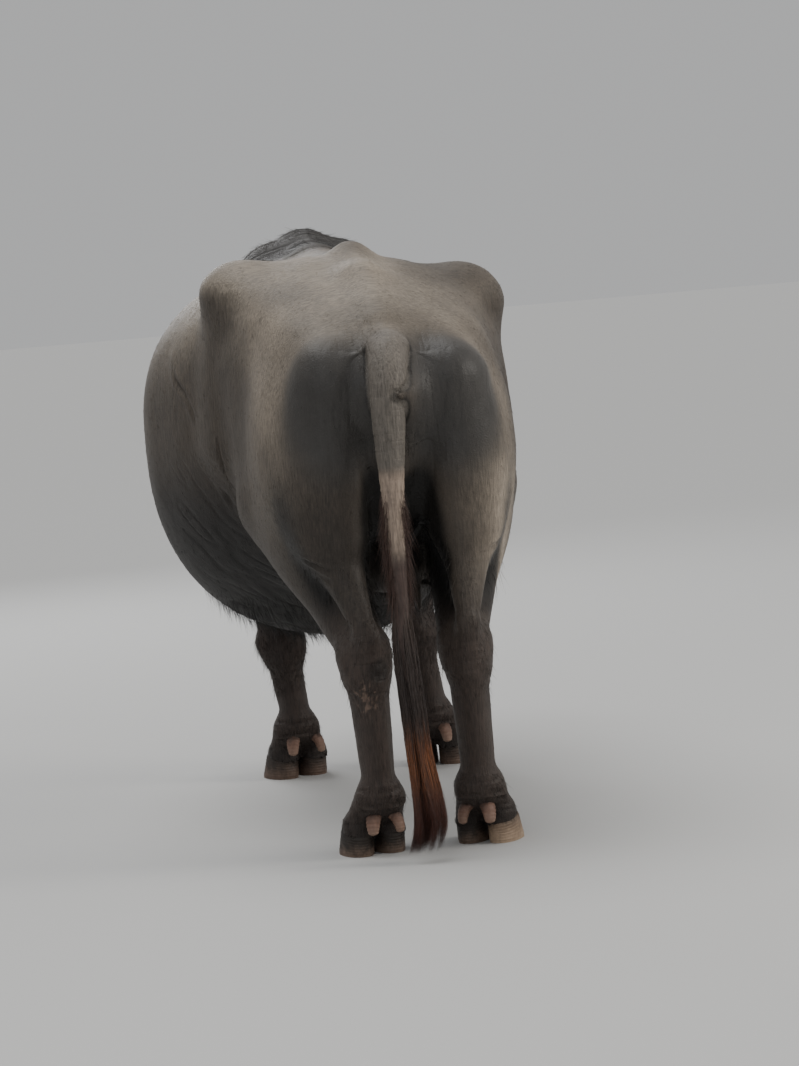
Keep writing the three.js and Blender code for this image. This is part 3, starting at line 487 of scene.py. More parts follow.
# Udder, a small soft bag with four teats
udderPlace = at(268, 0, 648)
udderForms = [(egg(udderPlace, 118, 132, 88), 1)]
for ahead in (-54, 46):
    for left in (-52, 52):
        top = udderPlace + at(ahead, left, -58)
        udderForms.append((limb(top, top + at(3, left * 0.1, -44), 15, 11.5), 12))
        udderForms.append((limb(top + at(3, left * 0.1, -44), top + at(4, left * 0.14, -66), 11.5, 9), 4))
udderField = gather(udderForms)

# Ears: a leaf that curls into a cup along its length
earLength = 262
earHalfWidth = profile((0, 24), (0.14, 28), (0.3, 48), (0.5, 60), (0.7, 52), (0.88, 30), (1, 8))
earCup = profile((0, 16), (0.14, 24), (0.3, 34), (0.5, 28), (0.8, 14), (1, 2))
earThick = profile((0, 26), (0.14, 22), (0.26, 11), (0.6, 7), (1, 4))


earDroop = 34  # how far the tip hangs below a straight line
# The skin's own part of each ear thins from this share on and ends soon after it
earStub = {"from": 0.12, "fall": 16, "end": 0.24, "swell": 4.0}


def earFrame(side):
    root = inHead(earRoot[0], side * (earRoot[1] - 24), earRoot[2])
    way = unit(faceLeft * side * 0.92 + at(0, 0, -0.3) - faceAlong * 0.06)
    facing = faceAlong * 0.35 + faceOut * 0.94
    facing = unit(facing - way * (facing @ way))
    return root, way, facing, np.cross(way, facing)


# Where points lie on an ear: share along it, share across it, and height over its middle sheet
def onEar(p, side):
    root, way, facing, across = earFrame(side)
    d = p - root
    t = d @ way / earLength
    for _ in range(3):
        dropped = d + np.clip(t, 0, 1.1)[:, None] ** 2 * earDroop * zAxis
        t = dropped @ way / earLength
    tt = np.clip(t, 0, 1)
    wide = earHalfWidth(tt)
    q = dropped @ across / wide
    lift = dropped @ facing + earCup(tt) * (1 - np.clip(q, -1.2, 1.2) ** 2)
    return t, q, lift, wide


# Closed rings of one ear's leaf between two shares of its length, grown by some millimetres
def earRings(side, first, last, count, sides, grow):
    root, way, facing, across = earFrame(side)
    turn = np.arange(sides) / sides * 2 * np.pi
    rings = []
    for t in np.linspace(first, last, count):
        tt = np.clip(t, 0, 1)
        wide = earHalfWidth(tt) + grow(t)
        half = earThick(tt) / 2 + grow(t)
        q = np.cos(turn)
        lift = half * np.sin(turn) * np.sqrt(1 - 0.6 * q**4) - earCup(tt) * (1 - q * q)
        place = root + way * t * earLength - earDroop * tt * tt * zAxis
        rings.append(place + np.outer(q * wide, across) + np.outer(lift, facing))
    return np.array(rings)


def earField(p):
    out = np.full(len(p), 400.0)
    for side in (1, -1):
        root, way = earFrame(side)[:2]
        near = np.linalg.norm(p - root - way * earLength * 0.5, axis=1) < 200
        t, q, lift, wide = onEar(p[near], side)
        tt = np.clip(t, 0, 1)
        slope = 2 * earCup(tt) * np.clip(np.abs(q), 0, 1) / wide
        half = earThick(tt) / 2 - earStub["fall"] * smooth((t - earStub["from"]) / 0.14)
        level = np.abs(lift) / np.sqrt(1 + slope**2)
        edge = np.maximum(np.abs(q) - 1, 0) * wide
        past = np.maximum(t - 1, 0) * earLength
        d = np.sqrt(level**2 + edge**2 + past**2) - half
        out[near] = np.where(t < -0.05, 400, np.minimum(out[near], d))
    return out


# Lids: a thin arch over and under each ball, tapered to both corners of the eye
def eyeCentre(side):
    return inHead(eyePlace[0], side * eyePlace[1], eyePlace[2])


def eyeFrame(side):
    outward = unit(faceLeft * side * 0.9 + faceOut * 0.43)
    along = unit(faceAlong - outward * (faceAlong @ outward))
    over = np.cross(outward, along) * side
    return outward, along, over if over @ faceOut > 0 else -over


def lidLine(side, upper):
    outward, along, over = eyeFrame(side)
    radius = body["eyeRadius"]
    q = np.linspace(-1, 1, 15)[:, None]
    lift = (12.5 if upper else -11) * (1 - q * q)
    depth = np.sqrt(np.maximum(0, (radius + 1.5) ** 2 - lift**2 - (q * 19) ** 2))
    return eyeCentre(side) + along * q * 27 + over * lift + outward * depth


# Half of a lid's thickness at shares of its length
def lidThick(upper, share):
    return (6.6 if upper else 5.4) * (0.62 + 0.38 * np.sin(np.pi * share))


def withEyes(p, d):
    q = headPlace(p)
    near = (np.abs(np.abs(q[:, 1]) - eyePlace[1]) < 70) & (np.abs(q[:, 0] - eyePlace[0]) < 90)
    near &= np.abs(q[:, 2] - eyePlace[2]) < 80
    if not near.any():
        return d
    here, value = p[near], d[near]
    for side in (1, -1):
        for upper in (True, False):
            far, share = fromLine(here, lidLine(side, upper))
            value = blend(value, far - lidThick(upper, share), 7)
    for side in (1, -1):
        ball = np.linalg.norm(here - eyeCentre(side), axis=1) - body["eyeRadius"] - 0.4
        value = carve(value, ball, 1.5)
    d[near] = value
    return d


# All of the flesh
def fleshField(p):
    d = trunkField(p)
    for leg in legs.values():
        ahead = -p[:, 1]
        near = ahead < 760 if leg["hind"] else (ahead > 960) & (ahead < 1760)
        near &= (p[:, 0] * leg["side"] > -90) & (p[:, 2] < 1330)
        q = p[near]
        reach = 12 + 34 * above(q[:, 2], 520, 80)
        d[near] = blend(d[near], leg["field"](q), reach)
    near = p[:, 1] < -1250
    q = p[near]
    d[near] = blend(blend(d[near], neckField(q), 95), headField(q), 44)
    near = (p[:, 1] > -130) & (np.abs(p[:, 0]) < 140)
    d[near] = blend(d[near], tailField(p[near]), 6 + 30 * above(p[near, 2], 1085, 60))
    near = (p[:, 1] > -470) & (p[:, 1] < -60) & (p[:, 2] < 800) & (p[:, 2] > 480)
    d[near] = blend(d[near], udderField(p[near]), 34)
    near = p[:, 1] < -1650
    d[near] = blend(d[near], earField(p[near]), 12)
    d[near] = withEyes(p[near], d[near])
    return d


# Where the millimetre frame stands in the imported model, from the middle of the left eye
lowest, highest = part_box("eye_left")
shift = np.array((lowest + highest) / 2) - eyeCentre(1) / 1000


def toFrame(p):
    return p / 1000 + shift


def toBody(co):
    return (co - shift) * 1000


print("forms ready")


# Meshes from arrays of points and of faces with equally many corners
def meshFrom(name, points, faces):
    mesh = bpy.data.meshes.new(name)
    mesh.vertices.add(len(points))
    mesh.vertices.foreach_set("co", np.asarray(points, np.float32).ravel())
    mesh.loops.add(faces.size)
    mesh.loops.foreach_set("vertex_index", np.asarray(faces, np.int32).ravel())
    mesh.polygons.add(len(faces))
    mesh.polygons.foreach_set("loop_start", np.arange(0, faces.size, faces.shape[1], dtype=np.int32))
    mesh.update(calc_edges=True)
    mesh.polygons.foreach_set("use_smooth", np.ones(len(faces), bool))
    return mesh


def piece(name, mesh, slotName, *nodes):
    made = bpy.data.objects.new(name, mesh)
    bpy.context.scene.collection.objects.link(made)
    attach(made, "root")
    if nodes:
        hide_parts(*nodes)
    return made


def coordinates(mesh):
    co = np.empty(len(mesh.vertices) * 3, np.float32)
    mesh.vertices.foreach_get("co", co)
    return co.reshape(-1, 3).astype(float)


def setPoints(mesh, p):
    mesh.vertices.foreach_set("co", toFrame(p).astype(np.float32).ravel())


def vertexNormals(mesh):
    n = np.empty(len(mesh.vertices) * 3, np.float32)
    mesh.vertex_normals.foreach_get("vector", n)
    return n.reshape(-1, 3).astype(float)


def edgePairs(mesh):
    pairs = np.empty(len(mesh.edges) * 2, np.int32)
    mesh.edges.foreach_get("vertices", pairs)
    return pairs.reshape(-1, 2)


def trianglesOf(mesh):
    mesh.calc_loop_triangles()
    t = np.empty(len(mesh.loop_triangles) * 3, np.int32)
    mesh.loop_triangles.foreach_get("vertices", t)
    return t.reshape(-1, 3)


# Each point's neighbours averaged
def neighbourMean(values, pairs):
    count = len(values)
    total = np.zeros_like(values)
    for k in range(values.shape[1]):
        total[:, k] = np.bincount(pairs[:, 0], values[pairs[:, 1], k], count)
        total[:, k] += np.bincount(pairs[:, 1], values[pairs[:, 0], k], count)
    degree = np.bincount(pairs.ravel(), minlength=count)
    return total / np.maximum(degree, 1)[:, None]


def setColour(mesh, name, rgb):
    attribute = mesh.attributes.new(name, "FLOAT_COLOR", "POINT")
    rgba = np.ones((len(rgb), 4), np.float32)
    rgba[:, :3] = rgb
    attribute.data.foreach_set("color", rgba.ravel())


def setValue(mesh, name, values):
    attribute = mesh.attributes.new(name, "FLOAT", "POINT")
    attribute.data.foreach_set("value", np.asarray(values, np.float32))


# A closed tube of rings along a line; size gives half width and half thickness at each share
def tubeMesh(name, line, lay, wide, thick, sides):
    tangent = unit(np.gradient(line, axis=0))
    rings = []
    across = np.array(lay, float)
    turn = (np.arange(sides) + 0.5) / sides * 2 * np.pi
    for k in range(len(line)):
        across = unit(across - tangent[k] * (across @ tangent[k]))
        other = np.cross(tangent[k], across)
        ring = np.outer(np.cos(turn) * wide[k], across) + np.outer(np.sin(turn) * thick[k], other)
        rings.append(line[k] + ring)
    return loftMesh(name, np.array(rings))


# Rings (count, sides, 3) joined into one closed mesh, in millimetres of the body's frame
def loftMesh(name, rings, inBody=True):
    count, sides = rings.shape[:2]
    points = np.vstack([rings.reshape(-1, 3), rings[0].mean(0), rings[-1].mean(0)])
    k, i = np.meshgrid(np.arange(count - 1), np.arange(sides), indexing="ij")
    a = (k * sides + i).ravel()
    b = (k * sides + (i + 1) % sides).ravel()
    walls = np.vstack([
        np.stack([a, b, b + sides], 1),
        np.stack([a, b + sides, a + sides], 1),
    ])
    i = np.arange(sides)
    j = (i + 1) % sides
    start, end = count * sides, count * sides + 1
    low = np.stack([np.full(sides, start), j, i], 1)
    top = (count - 1) * sides
    high = np.stack([np.full(sides, end), top + i, top + j], 1)
    faces = np.vstack([walls, low, high])
    volume = np.einsum(
        "ij,ij->i", points[faces[:, 0]], np.cross(points[faces[:, 1]], points[faces[:, 2]])
    ).sum()
    if volume < 0:
        faces = faces[:, ::-1]
    return meshFrom(name, toFrame(points) if inBody else points, faces)


# Colours are given as they look on a screen, from 0 to 255
def colour(r, g, b):
    c = np.array([r, g, b], float) / 255
    return np.where(c <= 0.04045, c / 12.92, ((c + 0.055) / 1.055) ** 2.4)


# Skin
skinMake = {
    "voxel": 0.0071,  # size of the first mesh's faces
    "quickTimes": 1.6,
    "fineRounds": 1,  # how many times the faces of the finest places are halved
    "relaxRounds": 3,
}


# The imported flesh, the tail and the roots of the ears, taken as one rough closed surface
def firstSkin():
    half = tailSize(tailSteps)
    extras = [tubeMesh("tailStart", tailLine, xAxis, half, half * 0.92, 20)]
    for side in (1, -1):
        rings = earRings(side, -0.05, earStub["end"], 12, 32, lambda t: earStub["swell"])
        extras.append(loftMesh("earStub", rings))
    solids = [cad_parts[name].data for name in ("torso", "neck", "head", "udder", *legs)]
    points, faces, count = [], [], 0
    for mesh in solids + extras:
        points.append(coordinates(mesh))
        faces.append(trianglesOf(mesh) + count)
        count += len(points[-1])
    for mesh in extras:
        bpy.data.meshes.remove(mesh)
    rough = bpy.data.objects.new("roughSkin", meshFrom("roughSkin", np.vstack(points), np.vstack(faces)))
    bpy.context.scene.collection.objects.link(rough)
    remesh = rough.modifiers.new("remesh", "REMESH")
    remesh.mode = "VOXEL"
    remesh.voxel_size = skinMake["voxel"] * 1
    graph = bpy.context.evaluated_depsgraph_get()
    mesh = bpy.data.meshes.new_from_object(rough.evaluated_get(graph))
    bpy.data.objects.remove(rough)
    return mesh


# Keeps only the largest connected surface
def largestPart(mesh):
    pairs = edgePairs(mesh)
    label = np.arange(len(mesh.vertices))
    while True:
        low = np.minimum(label[pairs[:, 0]], label[pairs[:, 1]])
        fresh = label.copy()
        np.minimum.at(fresh, pairs[:, 0], low)
        np.minimum.at(fresh, pairs[:, 1], low)
        fresh = fresh[fresh]
        fresh = fresh[fresh]
        if (fresh == label).all():
            break
        label = fresh
    names, counts = np.unique(label, return_counts=True)
    if len(names) == 1:
        return mesh
    keep = label == names[counts.argmax()]
    work = bmesh.new()
    work.from_mesh(mesh)
    work.verts.ensure_lookup_table()
    bmesh.ops.delete(work, geom=[work.verts[i] for i in np.flatnonzero(~keep)], context="VERTS")
    work.to_mesh(mesh)
    work.free()
    return mesh


# Splits the chosen faces in four and triangulates what is left uneven beside them
def halveFaces(mesh, chosen):
    work = bmesh.new()
    work.from_mesh(mesh)
    work.faces.ensure_lookup_table()
    edges = {e for i in np.flatnonzero(chosen) for e in work.faces[i].edges}
    edges = sorted(edges, key=lambda e: e.index)
    bmesh.ops.subdivide_edges(work, edges=edges, cuts=1, use_grid_fill=True)
    bmesh.ops.triangulate(work, faces=[f for f in work.faces if len(f.verts) > 4])
    work.to_mesh(mesh)
    work.free()
    mesh.update()
    return mesh


def faceCentres(mesh):
    c = np.empty(len(mesh.polygons) * 3, np.float32)
    mesh.polygons.foreach_get("center", c)
    return c.reshape(-1, 3).astype(float)


# Moves points along n to the skin's depth inside the flesh, at most so far in each round
def ontoFlesh(p, n, rounds, most):
    depth = body["coatDepth"]
    for _ in range(rounds):
        value = fleshField(p) + depth
        slope = np.clip(fleshField(p + n) + depth - value, 0.3, 1.6)
        p = p - n * np.clip(value / slope, -most, most)[:, None]
    return p


# Points that missed the flesh, as in a tight gap, go to the middle of their neighbours
def settled(p, before):
    for _ in range(4):
        missed = np.abs(fleshField(p) + body["coatDepth"]) > 1.2
        missed |= np.linalg.norm(p - before, axis=1) > 14
        p[missed] = neighbourMean(p, skinPairs)[missed]
    return p


# 1 inside an oval round a place, fading to 0 over a soft share of its size
def within(p, centre, radii, soft=0.5):
    far = np.linalg.norm((p - centre) / radii, axis=1)
    return smooth((1 + soft - far) / soft)


skinMesh = largestPart(firstSkin())
# Smaller faces on the head, beside the tail and at the old scar
for _ in range(skinMake["fineRounds"]):
    c = toBody(faceCentres(skinMesh))
    fine = (headPlace(c)[:, 0] > 60) & (c[:, 1] < -1700)
    fine |= (np.abs(c[:, 0]) < 90) & (c[:, 1] > -30) & (c[:, 2] > 840) & (c[:, 2] < 1170)
    fine |= within(c, at(-50, 104, 390), (70, 60, 90), 0.2) > 0
    skinMesh = halveFaces(skinMesh, fine)
print("first skin", len(skinMesh.vertices))

skinPairs = edgePairs(skinMesh)
skinPoints = toBody(coordinates(skinMesh))
soleOf = np.zeros(len(skinPoints))  # 1 on the flat faces that meet the hooves
for leg in legs.values():
    under = (skinPoints - leg["rimPoint"]) @ leg["rimNormal"]
    close = np.linalg.norm((skinPoints - leg["foot"])[:, :2], axis=1) < 130
    soleOf[close & (under < 3.0)] = 1
normals = vertexNormals(skinMesh)
for _ in range(2):
    normals = unit(mix(normals, neighbourMean(normals, skinPairs), 0.7))
free = (1 - soleOf)[:, None]
skinPoints = mix(skinPoints, settled(ontoFlesh(skinPoints, normals, 3, 7), skinPoints), free)
for _ in range(skinMake["relaxRounds"]):
    skinPoints = mix(skinPoints, neighbourMean(skinPoints, skinPairs), 0.5 * free)
setPoints(skinMesh, skinPoints)
skinMesh.update()
normals = vertexNormals(skinMesh)
skinPoints = mix(skinPoints, ontoFlesh(skinPoints, normals, 2, 3), free)
setPoints(skinMesh, skinPoints)
skinMesh.update()
print("skin on the flesh")

# Folds and creases of the hide: a line of places, its half width and its depth
creases = [
    # ahead of the left thigh, from the hip bone down into the flank
    (
        [at(705, 345, 1205), at(681, 379, 1169), at(619, 410, 1077), at(566, 402, 1031), at(530, 380, 960)],
        7, 5.0,
    ),
    ([at(600, 330, 900), at(520, 330, 840), at(470, 330, 760)], 9, 4.0),
    # over the hamstrings above the left hock
    ([at(60, 230, 690), at(3, 201, 664), at(-23, 148, 643), at(10, 95, 640), at(60, 66, 652)], 5, 4.2),
    ([at(20, 215, 640), at(-18, 160, 622), at(0, 105, 618), at(50, 75, 626)], 6, 2.2),
    ([at(60, -230, 690), at(3, -205, 668), at(-20, -150, 648), at(20, -95, 640)], 6, 3.0),
    # folds to the right of the tail root
    ([at(-20, -88, 1112), at(-44, -84, 1075), at(-52, -76, 1030), at(-48, -62, 990)], 4, 1.6),
    ([at(-24, -104, 1090), at(-48, -98, 1050), at(-54, -88, 1005)], 4, 1.0),
    # long thin creases down the right thigh
    (
        [at(200, -262, 1160), at(60, -222, 1110), at(-10, -212, 1040), at(0, -222, 950), at(5, -232, 850)],
        4, 2.6,
    ),
    ([at(150, -262, 1120), at(60, -244, 1040), at(30, -250, 950), at(40, -262, 860)], 4, 2.0),
    ([at(250, -285, 1080), at(130, -275, 980), at(90, -285, 880)], 5, 1.8),
    # stifle and groin
    ([at(470, 300, 800), at(380, 300, 720), at(300, 270, 660)], 8, 3.0),
    ([at(470, -270, 800), at(380, -280, 720), at(300, -262, 660)], 8, 3.0),
    # tendon grooves and fetlock cuffs behind the cannons
    ([at(-40, 88, 380), at(-30, 88, 290), at(-26, 86, 200), at(-28, 84, 150)], 5, 3.0),
    ([at(-14, 118, 380), at(-4, 112, 290), at(-2, 108, 200), at(-6, 112, 150)], 5, 2.4),
    ([at(-36, -108, 380), at(-22, -114, 290), at(-18, -118, 200), at(-22, -122, 150)], 5, 3.0),
    # over the shoulders and at the elbows
    ([at(1180, 215, 1080), at(1220, 262, 980), at(1230, 285, 880), at(1210, 270, 790)], 9, 4.0),
    ([at(1180, -215, 1080), at(1220, -262, 980), at(1230, -285, 880), at(1210, -270, 790)], 9, 4.0),
    ([at(1190, 300, 760), at(1260, 300, 700), at(1340, 290, 690)], 8, 3.5),
    ([at(1190, -300, 760), at(1260, -300, 700), at(1340, -290, 690)], 8, 3.5),
]
for leg in legs.values():
    fetlock, side = leg["fetlock"], leg["side"]
    for rise, deep in ((26, 2.2), (-4, 3.6), (-22, 2.4)):
        ring = [
            fetlock + at(-52 * math.cos(a), 50 * math.sin(a), rise - 6 * math.cos(a))
            for a in np.linspace(-1.9, 1.9, 9)
        ]
        creases.append((ring, 4.5, deep))
    for rise, deep in ((-36, 2.2), (-48, 2.6)):
        ring = [
            fetlock + at(62 * math.cos(a), 52 * math.sin(a), rise - 4 * math.cos(a))
            for a in np.linspace(-1.2, 1.2, 7)
        ]
        creases.append((ring, 4, deep))


def creaseRelief(p, lines):
    total = np.zeros(len(p))
    for places, wide, deep in lines:
        line = curvePoints(places, np.linspace(0, 1, 4 * len(places)))
        reach = 5 * wide
        near = ((p > line.min(0) - reach) & (p < line.max(0) + reach)).all(1)
        if not near.any():
            continue
        far, share = fromLine(p[near], line)
        fade = smooth(share * 5) * smooth((1 - share) * 5)
        far = far + 1.2 * noise(p[near], 16, 7)
        valley = np.exp(-((far / wide) ** 2))
        lips = np.exp(-(((far - 2.1 * wide) / (1.1 * wide)) ** 2))
        total[near] += fade * deep * (0.4 * lips - valley)
    return total


# Thin valleys along the zero lines of a noise that is drawn out by stretch along each axis
def wrinkles(p, axes, stretch, seed, sharp=0.2):
    n = noise(p @ np.asarray(axes).T / stretch, 1, seed)
    return -np.exp(-((n / sharp) ** 2))


neckWay = unit(poll + at(0, 0, -120) - at(1450, 0, 1000))
neckSide = unit(np.cross(neckWay, zAxis))
neckUp = np.cross(neckSide, neckWay)
neckAxes = (neckWay, neckSide, neckUp)
faceAxes = (faceAlong, faceLeft, faceOut)


# The outermost place of a form's surface on each ray from inside it
def castOut(field, centre, ways, far):
    steps = np.arange(0, far, 2.0)
    found = []
    for way in unit(np.atleast_2d(ways)):
        value = field(centre + steps[:, None] * way)
        inside = np.flatnonzero(value < 0)
        k = inside[-1] if len(inside) else 0
        k = min(k, len(steps) - 2)
        t = steps[k] + 2.0 * value[k] / (value[k] - value[k + 1] + 1e-9)
        found.append(centre + way * t)
    return np.array(found)


mouthTurns = np.linspace(-1.95, 1.95, 29)
mouthWays = np.outer(np.cos(mouthTurns), faceAlong) + np.outer(np.sin(mouthTurns), faceLeft)
mouthLine = castOut(headField, inHead(404, 0, -90), mouthWays, 200)


def nostrilLine(side):
    ways = [
        faceAlong + faceLeft * side * left + faceOut * out
        for left, out in ((0.62, 0.26), (0.8, 0.36), (1.05, 0.52), (1.3, 0.62))
    ]
    return castOut(headField, inHead(478, 0, -62), ways, 200)


def faceRelief(p):
    q = headPlace(p)
    total = np.zeros(len(p))
    far, share = fromLine(p, mouthLine)
    ends = smooth(share * 12) * smooth((1 - share) * 12) * (1 - 0.75 * np.exp(-(((share - 0.5) / 0.1) ** 2)))
    total += ends * (3.0 * np.exp(-(((far - 12) / 8) ** 2)) - 8.5 * np.exp(-((far / 4.6) ** 2)))
    for side in (1, -1):
        far, share = fromLine(p, nostrilLine(side))
        size = mix(9, 4, share)
        total += 3.2 * np.exp(-(((far - size - 6) / 6) ** 2)) - 15 * smooth((size - far) / 6 + 0.35)
        for upper, offset, deep in ((True, 11, 1.6), (True, 20, 1.3), (False, 9, 1.8), (False, 17, 1.2)):
            over = eyeFrame(side)[2]
            fold = lidLine(side, upper) + over * (offset if upper else -offset)
            far, share = fromLine(p, fold)
            total -= deep * np.sin(np.pi * share) * np.exp(-((far / 2.6) ** 2))
    brow = above(q[:, 0], 60, 60) * below(q[:, 0], 250, 80)
    total += 0.9 * brow * wrinkles(p, faceAxes, (15, 60, 60), 31)
    bridge = above(q[:, 0], 250, 60) * below(q[:, 0], 430, 60)
    total += 0.8 * bridge * wrinkles(p, faceAxes, (20, 70, 50), 33)
    muzzle = above(q[:, 0], 440, 40)
    total += 0.55 * muzzle * (wrinkles(p, faceAxes, (6.5, 6.5, 6.5), 35, 0.25) + 0.5)
    jaw = above(q[:, 0], -20, 80) * below(q[:, 0], 200, 80) * below(q[:, 2], -150, 40)
    total += 2.4 * jaw * wrinkles(p, faceAxes, (32, 90, 60), 37)
    return total


# 1 on the tail, 0 beside it
def tailShare(p):
    share = np.zeros(len(p))
    near = (p[:, 1] > 0) & (np.abs(p[:, 0]) < 120) & (p[:, 2] > 330)
    share[near] = smooth((5 - tailField(p[near])) / 4) * above(p[near, 1], 10, 30)
    return share


# 1 in the narrow gap on both sides of the tail, where it lies on the pelvis
def tailGap(p):
    share = np.zeros(len(p))
    near = (p[:, 1] > -30) & (np.abs(p[:, 0]) < 110) & (p[:, 2] > 840) & (p[:, 2] < 1165)
    q = p[near]
    beside = np.exp(-((tailField(q) / 6) ** 2)) * np.exp(-((trunkField(q) / 7) ** 2))
    share[near] = beside * below(q[:, 2], 1165, 40) * above(q[:, 2], 840, 60)
    return share


def hideRelief(p):
    ahead, left, up = -p[:, 1], p[:, 0], p[:, 2]
    total = 1.1 * noise(p, 80, 1) + 0.55 * noise(p, 30, 2) + 0.16 * noise(p, 11, 3)
    total += creaseRelief(p, creases)
    upright = (yAxis, zAxis, xAxis)
    neck = above(ahead, 1430, 130)
    inFace = smooth((headPlace(p)[:, 0] - 10) / 70) * above(ahead, 1700, 80)
    neck = neck * (1 - inFace)
    total += neck * 3.4 * wrinkles(p, neckAxes, (34, 120, 150), 11, 0.22)
    total += neck * 1.6 * wrinkles(p, neckAxes, (17, 70, 90), 12, 0.22)
    brisket = within(p, at(1480, 0, 700), (190, 190, 170), 0.8) * (1 - neck)
    total += 2.6 * brisket * wrinkles(p, upright, (60, 26, 60), 13)
    top = within(p, at(1290, 0, 1390), (190, 260, 80), 0.7)
    total += 2.6 * top * wrinkles(p, upright, (26, 60, 130), 14)
    shoulder = within(p, at(1350, 0, 1050), (420, 240, 320), 0.5) * (np.abs(left) > 120)
    total += 1.2 * shoulder * wrinkles(p, upright, (34, 130, 90), 15)
    flank = within(p, at(560, 0, 720), (420, 210, 170), 0.7)
    slant = (unit(yAxis + 0.8 * zAxis), unit(zAxis - 0.8 * yAxis), xAxis)
    total += 1.6 * flank * wrinkles(p, slant, (26, 110, 90), 16)
    belly = below(up, 620, 120) * above(ahead, 420, 120) * below(ahead, 1300, 120)
    total += 1.5 * belly * wrinkles(p, upright, (34, 60, 60), 17)
    total -= 5.0 * tailGap(p)
    rear = within(p, at(-20, 0, 1000), (150, 90, 190), 0.6)
    total += rear * wrinkles(p, upright, (60, 70, 11), 18)
    vulva = within(p, at(-20, -3, 915), (44, 40, 90), 0.4)
    total += 1.3 * vulva * wrinkles(p, upright, (40, 60, 7), 19)
    back = above(up, 1150, 120) * below(ahead, 1100, 200)
    total += 0.5 * back * wrinkles(p, upright, (42, 60, 90), 20)
    for leg in legs.values():
        joint, fetlock = leg["joint"], leg["fetlock"]
        bend = within(p, joint, (80, 80, 80), 0.5)
        total += 1.3 * bend * wrinkles(p, upright, (60, 13, 60), 21)
        pastern = within(p, fetlock + at(16, 0, -44), (80, 80, 46), 0.4)
        total += 1.2 * pastern * wrinkles(p, upright, (60, 10, 60), 22)
    onTail = tailShare(p)
    tailWrinkles = wrinkles(p, upright, (60, 13, 60), 23)
    total += 0.9 * onTail * below(up, 1080, 60) * tailWrinkles
    # swirl and old scar on the left hock
    hock = at(-50, 89, 421)
    far = np.linalg.norm(p - hock, axis=1)
    total += 3.2 * np.exp(-((far / 11) ** 2)) - 2.6 * np.exp(-(((far - 17) / 5) ** 2))
    scar = within(p, at(-50, 116, 360), (26, 26, 40), 0.5)
    total += 1.4 * scar * wrinkles(p, upright, (8, 12, 5), 24, 0.4)
    # a callous outside the left fore knee
    total += 9 * np.exp(-((np.linalg.norm(p - at(1350, 190, 362), axis=1) / 30) ** 2))
    face = (ahead > 1690) & (headPlace(p)[:, 0] > 20)
    total[face] = 0.35 * noise(p[face], 26, 4) + 0.6 * noise(p[face], 60, 5)
    total[face] += faceRelief(p[face])
    return total


relief = hideRelief(skinPoints) * (1 - soleOf)
skinPoints = skinPoints + vertexNormals(skinMesh) * relief[:, None]
setPoints(skinMesh, skinPoints)
skinMesh.update()
skinNormals = vertexNormals(skinMesh)
print("folds and creases")

# Colours of the hide, as they look under even light; some also paint light and shade: the pale dusty one is
# painted highlight on upper parts and ridges, dark and black are painted shade low on the body and in hollows
hideColours = {
    "grey": colour(66, 59, 52),
    "dustAndHighlight": colour(120, 111, 99),
    "dark": colour(26, 22, 20),
    "bare": colour(56, 54, 52),
    "tan": colour(140, 129, 115),
    "pale": colour(184, 169, 152),
    "black": colour(11, 10, 9),
    "leg": colour(55, 45, 40),
    "tail": colour(101, 95, 88),
    "tailPale": colour(133, 118, 105),
    "tailLow": colour(66, 53, 48),
    "muzzle": colour(20, 18, 17),
    "faceGrey": colour(46, 41, 37),
    "earLining": colour(84, 68, 62),
    "scar": colour(124, 103, 90),
}


def paint(base, name, share):
    return mix(base, hideColours[name], np.clip(share, 0, 1)[:, None])


# The dark patch with hardly any hair on one side of the tail
def barePatch(p, side):
    return within(p, at(-30, side * 128, 1005), (90, 62, 108), 1.05)


